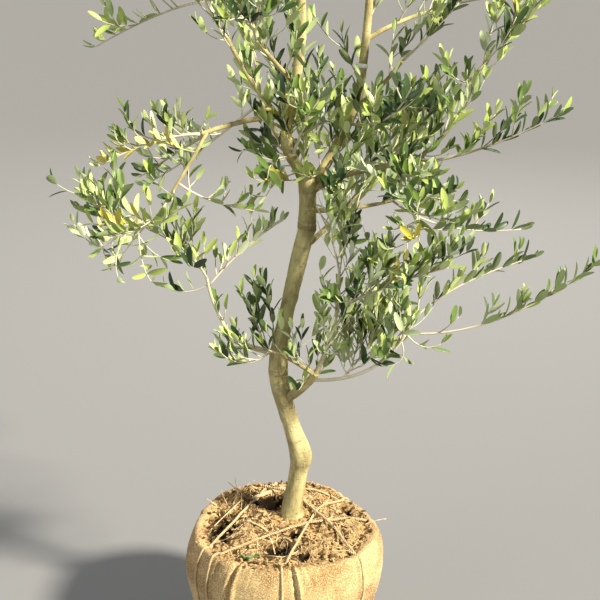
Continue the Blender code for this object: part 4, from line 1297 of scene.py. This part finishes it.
def make_foliage(plant, bark):
    """The stem, shoots, fine twigs and leaves of every mass, and the leafy shoots below them."""
    crown = Crown(bark)

    def clear(point):
        return in_box(point) and not hides_limb(point, plant.limbs)

    stems = [stem_of(row, plant) for row in MASSES]
    spaces = Spaces([points for points, _ in stems])
    for owner, (row, (stem, stem_radii)) in enumerate(zip(MASSES, stems)):

        def room(point):
            return clear(point) and spaces.holds(owner, point)

        draw = random.Random(row.name + " finer")
        fullness = FULLNESS.get(row.name, 1)
        count = shoot_count(stem)
        between = round(count * BETWEEN_PER_SHOOT * fullness)
        shoots = shoots_of(stem, row.shoot, count, SHOOT_SPAN, random.Random(row.name))
        shoots += shoots_of(stem, row.shoot * BETWEEN_SIZE, between, BETWEEN_SPAN, draw)
        crown.woody.tube(stem, stem_radii, STEM_SIDES)
        crown.add_leaves(stem, STEM_PAIRS_FROM, draw, room)
        crown.add_shoots(shoots, fullness, draw, room)
    for name, span, count, longest in LIMB_SHOOTS:
        draw = random.Random(f"{name} shoots from {span[0]}")
        shoots = shoots_of(plant.limbs[name].points, longest, count, span, draw)
        crown.add_shoots(shoots, 1, draw, clear)
    homes = {name: limb.points for name, limb in plant.limbs.items()}
    homes.update({row.name: points for row, (points, _) in zip(MASSES, stems)})
    draw = random.Random("single twigs")
    for home, share, reach, bow in SINGLE_TWIGS:
        root, _ = point_along(homes[home], share)
        twig = bowed_path(root, Vector(reach), Vector(bow), STEM_STEPS)
        crown.woody.tube(twig, [blend(*SHOOT.radii, t) for t in steps(STEM_STEPS)], SHOOT_SIDES)
        crown.add_leaves(twig, SINGLE_PAIRS_FROM, draw, in_box)
    crown.finish()


# The root ball


def waves(turn, rows):
    return sum(height * math.cos(count * turn + phase) for count, height, phase in rows)


def ball_point(turn, radius, height):
    """A point of the ball, which is a little out of round and has an uneven lip."""
    share = max(0.0, (height - LIP_WAVES_FROM) / (LIP_EDGE[1] - LIP_WAVES_FROM))
    radius *= 1 + waves(turn, LOBES)
    lift = waves(turn, LIP_WAVES) * share
    aside = BALL_BELLY * math.sin(math.pi * height / LIP_EDGE[1])
    return Vector((radius * math.cos(turn) - aside, radius * math.sin(turn), height + lift))


def cloth_profile():
    """The cloth's outline from its foot over the lip to the tucked edge, as (radius, height)."""
    stations = [(radius, height) for height, radius in WRAP_PROFILE]
    return smooth_curve([*stations, LIP_CREST, LIP_EDGE, LIP_TUCK], CLOTH_ROW_STEPS)


def string_turns():
    """The turns at which the strings press the cloth in."""
    return [math.radians(route[end]) for route in STRING_ROUTES.values() for end in (0, 2)]


def fold_rows():
    """The cloth's folds: turn, slant, height, width, and the span of the profile they run over."""
    draw = random.Random("folds")
    rows = [
        (math.radians(turn), slant, height, FOLD_WIDTH, 0.05, 1.0) for turn, slant, height in PLACED_FOLDS
    ]
    for _ in range(LOOSE_FOLDS):
        low = draw.choice(LOOSE_FOLD_STARTS)
        height, width = draw.uniform(*LOOSE_FOLD_HEIGHTS), draw.uniform(*LOOSE_FOLD_WIDTHS)
        turn, slant = draw.uniform(0, ROUND), draw.uniform(-LOOSE_FOLD_SLANT, LOOSE_FOLD_SLANT)
        rows.append((turn, slant, height, width, low, low + LOOSE_FOLD_RUN))
    return rows


def cloth_relief(turn, share, folds):
    """How far the cloth stands off the plain ball at a turn and a share of its profile."""
    around = outwards(turn) * BALL_RADIUS
    tied = 1.0
    for string in string_turns():
        tied *= 1 - hump(math.remainder(turn - string, ROUND), 0, PINCH_WIDTH)
    puff = PUFF * tied * math.sin(math.pi * min(1, max(0, share))) ** 0.5
    ridges = 0.0
    for at, slant, height, width, low, high in folds:
        if low < share < high:
            off = math.remainder(turn - at - slant * (share - 0.5), ROUND) * BALL_RADIUS
            crease = FOLD_CREASE * hump(off, 1.5 * width, 0.5 * width)
            width *= 1 if off < 0 else FOLD_LEE
            rise = math.sin(math.pi * (share - low) / (high - low)) ** 0.6
            ridges += height * (hump(off, 0, width) - crease) * rise
    creases = sum(size * noise.noise(around * wide + UP * share * tall) for wide, tall, size in CREASES)
    wide, tall, size = GATHERS
    gathered = max(0, share - GATHERS_FROM) / (1 - GATHERS_FROM)
    creases += gathered * size * noise.noise(around * wide + UP * share * tall)
    return puff + ridges * (0.35 + 0.65 * tied) + creases * (0.3 + 0.7 * tied)


def make_cloth():
    """The burlap: a closed cup with a folded skin, whose lip is turned in over the soil."""
    profile = cloth_profile()
    folds = fold_rows()
    rows, soiled = [], []
    last = len(profile) - 1
    for i, (radius, height) in enumerate(profile):
        way = profile[min(i + 1, last)] - profile[max(i - 1, 0)]
        out = Vector((way.y, -way.x)).normalized()
        share = i / last
        ring = []
        for turn in turns_round(CLOTH_TURNS):
            around = outwards(turn)
            lift = cloth_relief(turn, share, folds) * min(1, 8 * share)
            wander = sum(size * noise.noise(around * scale) for scale, size in LIP_WANDER)
            ragged = max(0, share - RAGGED_FROM) / (1 - RAGGED_FROM) * wander
            point = ball_point(turn, radius + out.x * lift - ragged, height)
            point.z = max(0, point.z + out.y * lift)
            ring.append(point)
            near_lip = max(0, share - SOILED_FROM) / 0.20
            stain = 0.5 + 0.5 * noise.noise(around * 5 + UP * share * 4)
            soiled.append(min(1, near_lip * (0.35 + stain) + max(0, 0.10 - share) * 5))
        rows.append(ring)
    for radius, height in [*CLOTH_INSIDE, (0.02, CLOTH_INSIDE[-1][1])]:
        rows.append([ball_point(turn, radius, height) for turn in turns_round(CLOTH_TURNS)])
        soiled += [1.0] * CLOTH_TURNS
    runs = [0.0]
    for a, b in zip(rows, rows[1:]):
        runs.append(runs[-1] + (b[0] - a[0]).length)
    heap = Heap()
    heap.add(*ringed(rows))
    cloth = heap.piece("burlap_cloth", [cloth_finish()])
    layer = cloth.data.uv_layers.new(name="cloth")
    for polygon in cloth.data.polygons:
        columns = [vertex % CLOTH_TURNS for vertex in polygon.vertices]
        over_seam = max(columns) - min(columns) > CLOTH_TURNS / 2
        for loop, vertex, column in zip(polygon.loop_indices, polygon.vertices, columns):
            column += CLOTH_TURNS if over_seam and column < CLOTH_TURNS / 2 else 0
            layer.data[loop].uv = (column / CLOTH_TURNS * ROUND * BALL_RADIUS, runs[vertex // CLOTH_TURNS])
    set_attribute(cloth, "soiled", "FLOAT", soiled)
    return dress(cloth, "burlap", "burlap_wrap")


def clod_rows():
    """Where the clods of the top soil lie, how high they stand and how wide they are."""
    draw = random.Random("clods")
    rows = []
    for _ in range(CLODS):
        turn = draw.uniform(0, ROUND)
        out = SOIL_EDGE_RADIUS * math.sqrt(draw.uniform(*CLOD_SHARES))
        height = draw.uniform(*CLOD_HEIGHTS)
        width = draw.uniform(*CLOD_WIDTHS)
        rows.append((out * math.cos(turn), out * math.sin(turn), height, width))
    return rows


def soil_height(x, y, share, rows):
    """The soil's height at a place, where share runs from 0 at the seat to 1 at the edge."""
    mound = blend(TRUNK_FOOT.z, SOIL_EDGE_HEIGHT, share**MOUND_CURVE)
    lumps = sum(
        height * math.exp(-((x - at_x) ** 2 + (y - at_y) ** 2) / width**2)
        for at_x, at_y, height, width in rows
    )
    return mound + lumps * math.sin(math.pi * min(share, 1)) ** CLOD_FADE


def shade_at(spot):
    """How deep in the shaded hollows of the top soil a place lies; it sinks the soil there and sets the
    shade painted on it.
    """
    return sum(
        depth * hump(spot.x, x, wide) * hump(spot.y, y, long) for x, y, wide, long, depth in SHADED_HOLLOWS
    )


def make_soil():
    """The soil: a crumbled, pitted top, and the plain ball below it inside the cloth."""
    rows = [*clod_rows(), BACK_LUMP, *((x, y, -HOLLOW_DEPTH, HOLLOW_WIDTH) for x, y in HOLLOWS)]
    turns = turns_round(SOIL_TURNS)
    rings, hollow = [], []
    for height, radius in WRAP_PROFILE:
        rings.append([ball_point(turn, radius - SOIL_INSET, max(height, SOIL_INSET)) for turn in turns])
        # The sides inside the cloth are painted fully dark, as shade.
        hollow += [1.0] * SOIL_TURNS
    for share in reversed(steps(SOIL_RINGS)):
        share *= SOIL_OVERREACH
        ring = []
        for turn in turns:
            spill = sum(
                size * math.exp(-((math.remainder(turn - middle, ROUND) / width) ** 4))
                for middle, width, size in SPILLS
            )
            edge = ball_point(turn, SOIL_EDGE_RADIUS + SPILL_REACH * spill, SOIL_EDGE_HEIGHT)
            seat = TRUNK_FOOT + 0.4 * SEAT_RADIUS * outwards(turn)
            point = seat.lerp(edge, share)
            from_seat = max(0, ((point - TRUNK_FOOT).to_2d().length - 0.5 * SEAT_RADIUS) / SOIL_EDGE_RADIUS)
            height = soil_height(point.x, point.y, min(share, 1.0), rows) + waves(turn, LIP_WAVES) * share
            height += SPILL_RISE * spill * min(1, share) ** 2
            height -= max(0, share - 1) * (0.05 + SOIL_EDGE_DIP * spill)
            rough = noise.fractal(point * CRUMBLE_SCALE, 0.75, 2.1, 5) * CRUMBLE_HEIGHT
            knobs = max(0, noise.noise(point * KNOB_SCALE)) * KNOB_HEIGHT
            rough += noise.noise(point * GRIT_SCALE) * GRIT_HEIGHT + knobs
            pit = shade_at(point)
            depth = min(1, from_seat * 8) * (1 if share < 0.96 else max(0.0, (1.08 - share) / 0.12))
            sunk = PIT_DEPTH * pit * (1 + noise.noise(point * 60)) * depth
            point.z = height + rough * depth - sunk
            ring.append(point)
            # Painted shade: darker in the shaded hollows and where the crumbled top dips low.
            dark = 2.6 * pit * (1 + noise.noise(point * 90)) + max(0, -0.0008 - rough) * 230
            hollow.append(min(1, max(0, dark)))
        rings.append(ring)
    heap = Heap()
    heap.add(*ringed(rings))
    soil = heap.piece("crumbled_soil", [soil_finish()])
    set_attribute(soil, "hollow", "FLOAT", hollow)
    return dress(soil, "soil", "soil")


def lump_shape():
    """A plain lump's vertices and faces, one unit in radius."""
    shape = bmesh.new()
    bmesh.ops.create_icosphere(shape, subdivisions=1, radius=1)
    vertices = [vertex.co.copy() for vertex in shape.verts]
    faces = [tuple(vertex.index for vertex in face.verts) for face in shape.faces]
    shape.free()
    return vertices, faces


def make_crumbs(grounds):
    """Loose crumbs of soil on the top, in two tones."""
    draw = random.Random("crumbs")
    vertices, faces = lump_shape()
    heaps = [Heap(), Heap()]
    for _ in range(CRUMBS):
        turn, out = draw.uniform(0, ROUND), CRUMBS_OUT * math.sqrt(draw.random())
        spot = Vector((out * math.cos(turn), out * math.sin(turn)))
        size = blend(*CRUMB_SIZES, draw.random() ** 3)
        ground = top_of(grounds, spot)
        if (spot - TRUNK_FOOT.xy).length < CRUMBS_FROM_TRUNK or ground is None:
            continue
        if shade_at(spot) > draw.uniform(*BARE_SHADE):
            continue
        axis = Vector((draw.gauss(0, 1), draw.gauss(0, 1), draw.gauss(0, 1)))
        spin = Quaternion(axis, draw.uniform(0, ROUND))
        flat = Vector((CRUMB_LONG, draw.uniform(*CRUMB_WIDTHS), draw.uniform(*CRUMB_HEIGHTS)))
        seed = Vector((draw.uniform(0, 99), 0, 0))
        shaped = []
        for corner in vertices:
            knobbly = 1 + 0.45 * noise.noise(corner * 1.3 + seed) + 0.2 * noise.noise(corner * 3.1 + seed)
            local = spin.normalized() @ Vector(a * b for a, b in zip(corner, flat))
            shaped.append(Vector((*spot, ground + size * CRUMB_SUNK)) + local * size * knobbly)
        heaps[draw.random() < DARK_CRUMB_SHARE].add(shaped, faces)
    for heap, (name, colour) in zip(heaps, CRUMB_TONES.items()):
        dress(heap.piece(name, [crumb_finish(name, colour)], smooth=False), "soil")


def top_of(surfaces, spot):
    """How high the highest surface is at a place in plan."""
    hits = [surface.ray_cast(Vector((*spot, RAY_HEIGHT)), -UP)[0] for surface in surfaces]
    heights = [hit.z for hit in hits if hit]
    return max(heights) if heights else None


def make_roots(grounds):
    """Fine roots that lie over the soil, and a few that stick out of it."""
    draw = random.Random("roots")
    heap = Heap()
    for _ in range(ROOTS):
        turn, out = draw.uniform(0, ROUND), ROOTS_OUT * math.sqrt(draw.random())
        spot = Vector((out * math.cos(turn), out * math.sin(turn)))
        heading, bend = draw.uniform(0, ROUND), draw.uniform(-1.0, 1.0)
        step = draw.uniform(*ROOT_STRIDES)
        radius = blend(*ROOT_RADII, draw.random() ** 2)
        arch = draw.choice(ROOT_ARCHES)
        points = []
        for i in range(ROOT_STEPS + 1):
            ground = top_of(grounds, spot)
            if ground is None or spot.length > ROOTS_OUT or (spot - TRUNK_FOOT.xy).length < ROOTS_FROM_TRUNK:
                break
            if shade_at(spot) > draw.uniform(*BARE_SHADE):
                break
            share = i / ROOT_STEPS
            points.append(Vector((*spot, ground + radius * 0.6 + arch * math.sin(math.pi * share))))
            heading += bend * ROOT_BEND + draw.uniform(-ROOT_WANDER, ROOT_WANDER)
            spot = spot + step * Vector((math.cos(heading), math.sin(heading)))
        if len(points) > 4:
            settled = smoothed(points)
            shares = [i / len(settled) for i in range(len(settled))]
            heap.tube(settled, [blend(radius, radius * ROOT_TIP, share) for share in shares], 5)
    for spot, reach, radius in STANDING_ROOTS:
        ground = top_of(grounds, Vector(spot)) or SOIL_EDGE_HEIGHT
        root = Vector((*spot, ground - 0.004))
        wobble = Vector((draw.uniform(-1, 1), draw.uniform(-1, 1), 0.8)) * 0.006
        points = bowed_path(root, Vector(reach), wobble, STANDING_STEPS)
        points = [point + Vector((draw.uniform(-1, 1), draw.uniform(-1, 1), 0)) * 0.0007 for point in points]
        radii = [blend(radius, radius * STANDING_TIP, share) for share in steps(STANDING_STEPS)]
        heap.tube(points, radii, 6)
    for start, end, radius in STICKS:
        points = smoothed(string_top([Vector(start), Vector(end)], grounds))
        heap.tube(points, [radius * (1 + 0.2 * noise.noise(point * 90)) for point in points], 7)
    dress(heap.piece("fine_roots", [root_finish()]), "soil")


def smoothed(points):
    """The path with each inner point moved half way to the middle of its neighbours."""
    inner = [(a + 2 * b + c) / 4 for a, b, c in zip(points, points[1:], points[2:])]
    return [points[0], *inner, points[-1]]


def make_weeds(grounds):
    """Tiny seedlings on the soil at the front."""
    draw = random.Random("weeds")
    heap = Heap()
    for x, y in WEEDS:
        base = Vector((x, y, top_of(grounds, Vector((x, y))) - 0.001))
        turn = draw.uniform(0, ROUND)
        for k in range(WEED_LEAVES):
            angle = turn + GOLDEN_ANGLE * k
            aim = Vector((math.cos(angle), math.sin(angle), draw.uniform(0.25, 0.9))).normalized()
            add_leaf(heap, base, aim, square_to(aim), draw.uniform(*WEED_LEAF_LENGTHS), 0.15)
    upper = plain_finish("seedling_upper", (0.080, 0.190, 0.040), roughness=0.5)
    under = plain_finish("seedling_under", (0.140, 0.240, 0.080), roughness=0.7)
    dress(heap.piece("seedlings", [upper, under]), "foliage")


# The strings


def height_over(x, y, sideways, surfaces):
    """The height of a string that lies over the surfaces at a place."""
    shifts = (-STRING_RADIUS, -STRING_RADIUS / 2, 0, STRING_RADIUS / 2, STRING_RADIUS)
    tops = [top_of(surfaces, Vector((x, y)) + sideways * shift) for shift in shifts]
    return max(top for top in tops if top is not None) + STRING_RADIUS * STRING_SINK


def string_side(turn, surfaces):
    """Points up the ball's side at a turn, from near its foot to its lip, lying on the cloth."""
    outward = outwards(turn)
    heart = ball_point(turn, *STRING_HEART)
    points = []
    for share in steps(STRING_SIDE_STEPS):
        rise = blend(*STRING_RISES, share)
        aim = outward * math.cos(rise) + UP * math.sin(rise)
        hits = [tree.ray_cast(heart + aim, -aim) for tree in surfaces]
        place, normal = min((hit for hit in hits if hit[0]), key=lambda hit: hit[3])[:2]
        points.append(place + normal * STRING_RADIUS * STRING_SINK)
    return taut(
        points,
        lambda point: point.z - point.to_2d().length,
        lambda point: point.z + point.to_2d().length,
    )


def taut(points, run, rise):
    """The points that a taut string touches as it goes over the others, from run to run."""
    kept = []
    for point in points:
        while len(kept) > 1:
            share = (run(kept[-1]) - run(kept[-2])) / (run(point) - run(kept[-2]))
            if rise(kept[-1]) > blend(rise(kept[-2]), rise(point), share):
                break
            kept.pop()
        kept.append(point)
    return kept


def string_top(waypoints, surfaces):
    """A taut line over the soil through waypoints in plan."""
    path = []
    for start, end in zip(waypoints, waypoints[1:]):
        count = max(2, round((end - start).length / STRING_STEP))
        sideways = Vector((start.y - end.y, end.x - start.x)).normalized()
        run = []
        for share in steps(count):
            spot = start.lerp(end, share)
            run.append(Vector((*spot, height_over(*spot, sideways, surfaces))))
        line = taut(run, lambda point: (point.xy - start).length, lambda point: point.z)
        path += line[1:] if path else line
    return path


def even_path(points, spacing):
    """The path again, with points at an even spacing."""
    count = max(2, round(length_of(points) / spacing))
    return [point_along(points, share)[0] for share in steps(count)]


def grain_of(places, radius):
    """Where each vertex of a tube lies on one that is straight and that thick."""
    return [Vector((radius * math.cos(turn), radius * math.sin(turn), way)) for turn, way in places]


def sway(place):
    """Smooth noise for each axis, which is the same in each run, as noise_vector's isn't."""
    return Vector(noise.noise(place + apart) for apart in SWAY_APART)


def add_plies(heap, points, name):
    """Two plies twisted round each other along a path; returns their grain."""
    draw = random.Random(name)
    grain = []
    start = draw.uniform(0, ROUND)
    frames = frames_along(points)
    for ply in range(2):
        path, radii = [], []
        for point, across, other, travelled in frames:
            turn = start + math.pi * ply + ROUND * travelled / PLY_PITCH
            path.append(point + PLY_OFFSET * (math.cos(turn) * across + math.sin(turn) * other))
            radii.append(PLY_RADIUS * (1 + 0.16 * noise.noise(Vector((travelled * 130, ply * 9, start)))))
        places = heap.tube(path, radii, PLY_SIDES)
        grain += grain_of(places, PLY_RADIUS)
    return grain


def add_frayed_fibres(heap, points, name):
    """Short hairs that stand off a string; returns their grain."""
    draw = random.Random(name + " hairs")
    grain = []
    for _ in range(round(length_of(points) * HAIRS_PER_METRE)):
        root, along = point_along(points, draw.uniform(0.03, 0.97))
        side = Quaternion(along, draw.uniform(0, ROUND)) @ square_to(along)
        reach = (side + along * draw.uniform(-1.5, 1.5)).normalized() * draw.uniform(*HAIR_LENGTHS)
        hair = bowed_path(root, reach, side * -0.001 + UP * draw.uniform(-0.001, 0.002), 4)
        places = heap.tube(hair, [HAIR_RADIUS] * 5, 3)
        grain += grain_of(places, 0)
    return grain


def make_strings(surfaces):
    """The jute strings, each lying over the cloth, the soil and the strings before it."""
    jute = string_finish()
    for name, (start, by_trunk, end) in STRING_ROUTES.items():
        turns = [math.radians(start), math.radians(end)]
        crests = [ball_point(turn, STRING_INSIDE_LIP, LIP_EDGE[1]) for turn in turns]
        rises = [string_side(turn, surfaces) for turn in turns]
        waypoints = [crests[0].to_2d(), Vector(by_trunk), crests[1].to_2d()]
        points = even_path([*rises[0], *string_top(waypoints, surfaces), *rises[1][::-1]], STRING_SPACING)
        points = [point + STRING_WANDER * sway(point * SWAY_SCALE) for point in points]
        points = even_path(smoothed(smoothed(points)), PLY_PITCH / PLY_STEPS)
        heap = Heap()
        grain = add_plies(heap, points, name)
        grain += add_frayed_fibres(heap, points, name)
        string = heap.piece(name.replace("string", "jute_string"), [jute])
        set_attribute(string, "grain", "FLOAT_VECTOR", grain)
        dress(string, "jute", name)
        core = Heap()
        core.tube(points, [STRING_RADIUS] * len(points), 5)
        surfaces = [*surfaces, BVHTree.FromPolygons(core.vertices, core.faces)]


def make_strap(surfaces):
    """A thick, worn end of jute rope that lies over the soil behind the trunk."""
    waypoints = [Vector(place) for place in STRAP_ROUTE]
    points = even_path(string_top(waypoints, surfaces), STRAP_SPACING)
    points = smoothed(smoothed(smoothed(points)))
    heap = Heap()
    radii = [between_rows(STRAP_RADII, i / (len(points) - 1)) for i in range(len(points))]
    places = heap.tube(points, radii, STRAP_SIDES)
    for i, vertex in enumerate(heap.vertices):
        centre = points[i // STRAP_SIDES]
        out = vertex - centre
        turn, way = places[i]
        twisted = 1 + 0.16 * math.sin(3 * turn + way * 300) + 0.12 * noise.noise(vertex * 300)
        heap.vertices[i] = centre + Vector((out.x, out.y, out.z * STRAP_FLATNESS)) * twisted
    strap = heap.piece("jute_rope_end", [string_finish()])
    set_attribute(strap, "grain", "FLOAT_VECTOR", grain_of(places, STRAP_GRAIN_RADIUS))
    dress(strap, "jute")


def make_tape():
    """Two turns of white tape round the right leader."""
    limb = station_path(RIGHT_LEADER_STATIONS, SKIN_STATION_STEPS)
    finish = plain_finish("white_tape", (0.78, 0.79, 0.78), roughness=0.35, coat_weight=0.3)
    heap = Heap()
    for low, high, spread in TAPE_TURNS:
        wound = [(point, radius) for point, radius in zip(*limb) if low < point.z < high]
        points = [point for point, _ in wound]
        radii = [radius * TAPE_FIT + spread for _, radius in wound]
        heap.tube(points, radii, TAPE_SIDES)
    for i, vertex in enumerate(heap.vertices):
        heap.vertices[i] = vertex + Vector((1, 1, 0)) * 0.0005 * noise.noise(vertex * 160)
    dress(heap.piece("white_tape", [finish]), "bark")


# The studio


def make_floor():
    """A pale, even floor."""
    half = FLOOR_SIZE / 2
    heap = Heap()
    heap.add([(-half, -half, 0), (half, -half, 0), (half, half, 0), (-half, half, 0)], [(0, 1, 2, 3)])
    finish = plain_finish("studio_floor", FLOOR_COLOUR, roughness=0.9, specular_ior_level=0.1)
    heap.piece("studio_floor", [finish], smooth=False)


def add_light(name, kind, way, power, colour):
    """A light that shines from the way given."""
    lamp = bpy.data.lights.new(name, kind)
    lamp.energy = power
    lamp.color = colour
    light = show(name, lamp)
    light.rotation_euler = way.to_track_quat("Z", "Y").to_euler()
    return light


def light_studio():
    bpy.context.scene.view_settings.view_transform = "Standard"
    for name, (place, aim, size, power, colour) in LIGHTS.items():
        light = add_light(name, "AREA", Vector(place) - Vector(aim), power, colour)
        light.location = place
        light.data.shape = "DISK"
        light.data.size = size
    key = add_light("key_light", "SUN", Vector(KEY_FROM), KEY_STRENGTH, KEY_COLOUR)
    key.data.angle = KEY_SOFTNESS
    world = bpy.data.worlds.new("studio")
    world.use_nodes = True
    background = world.node_tree.nodes["Background"]
    background.inputs["Color"].default_value = (*WORLD_COLOUR, 1)
    background.inputs["Strength"].default_value = WORLD_STRENGTH
    bpy.context.scene.world = world


def add_camera():
    lens = bpy.data.cameras.new("camera")
    lens.lens = CAMERA_LENS
    lens.sensor_width = CAMERA_SENSOR
    camera = show("camera", lens)
    camera.location = CAMERA_PLACE
    camera.rotation_euler = CAMERA_TURN
    bpy.context.scene.camera = camera


add_camera()
plant, bark_surface = make_limbs()
make_foliage(plant, bark_surface)
cloth = make_cloth()
soil = make_soil()
grounds = [surface_of(cloth), surface_of(soil)]
make_crumbs(grounds)
make_roots(grounds)
make_weeds(grounds)
make_strings(grounds)
make_strap(grounds)
make_tape()
make_floor()
light_studio()
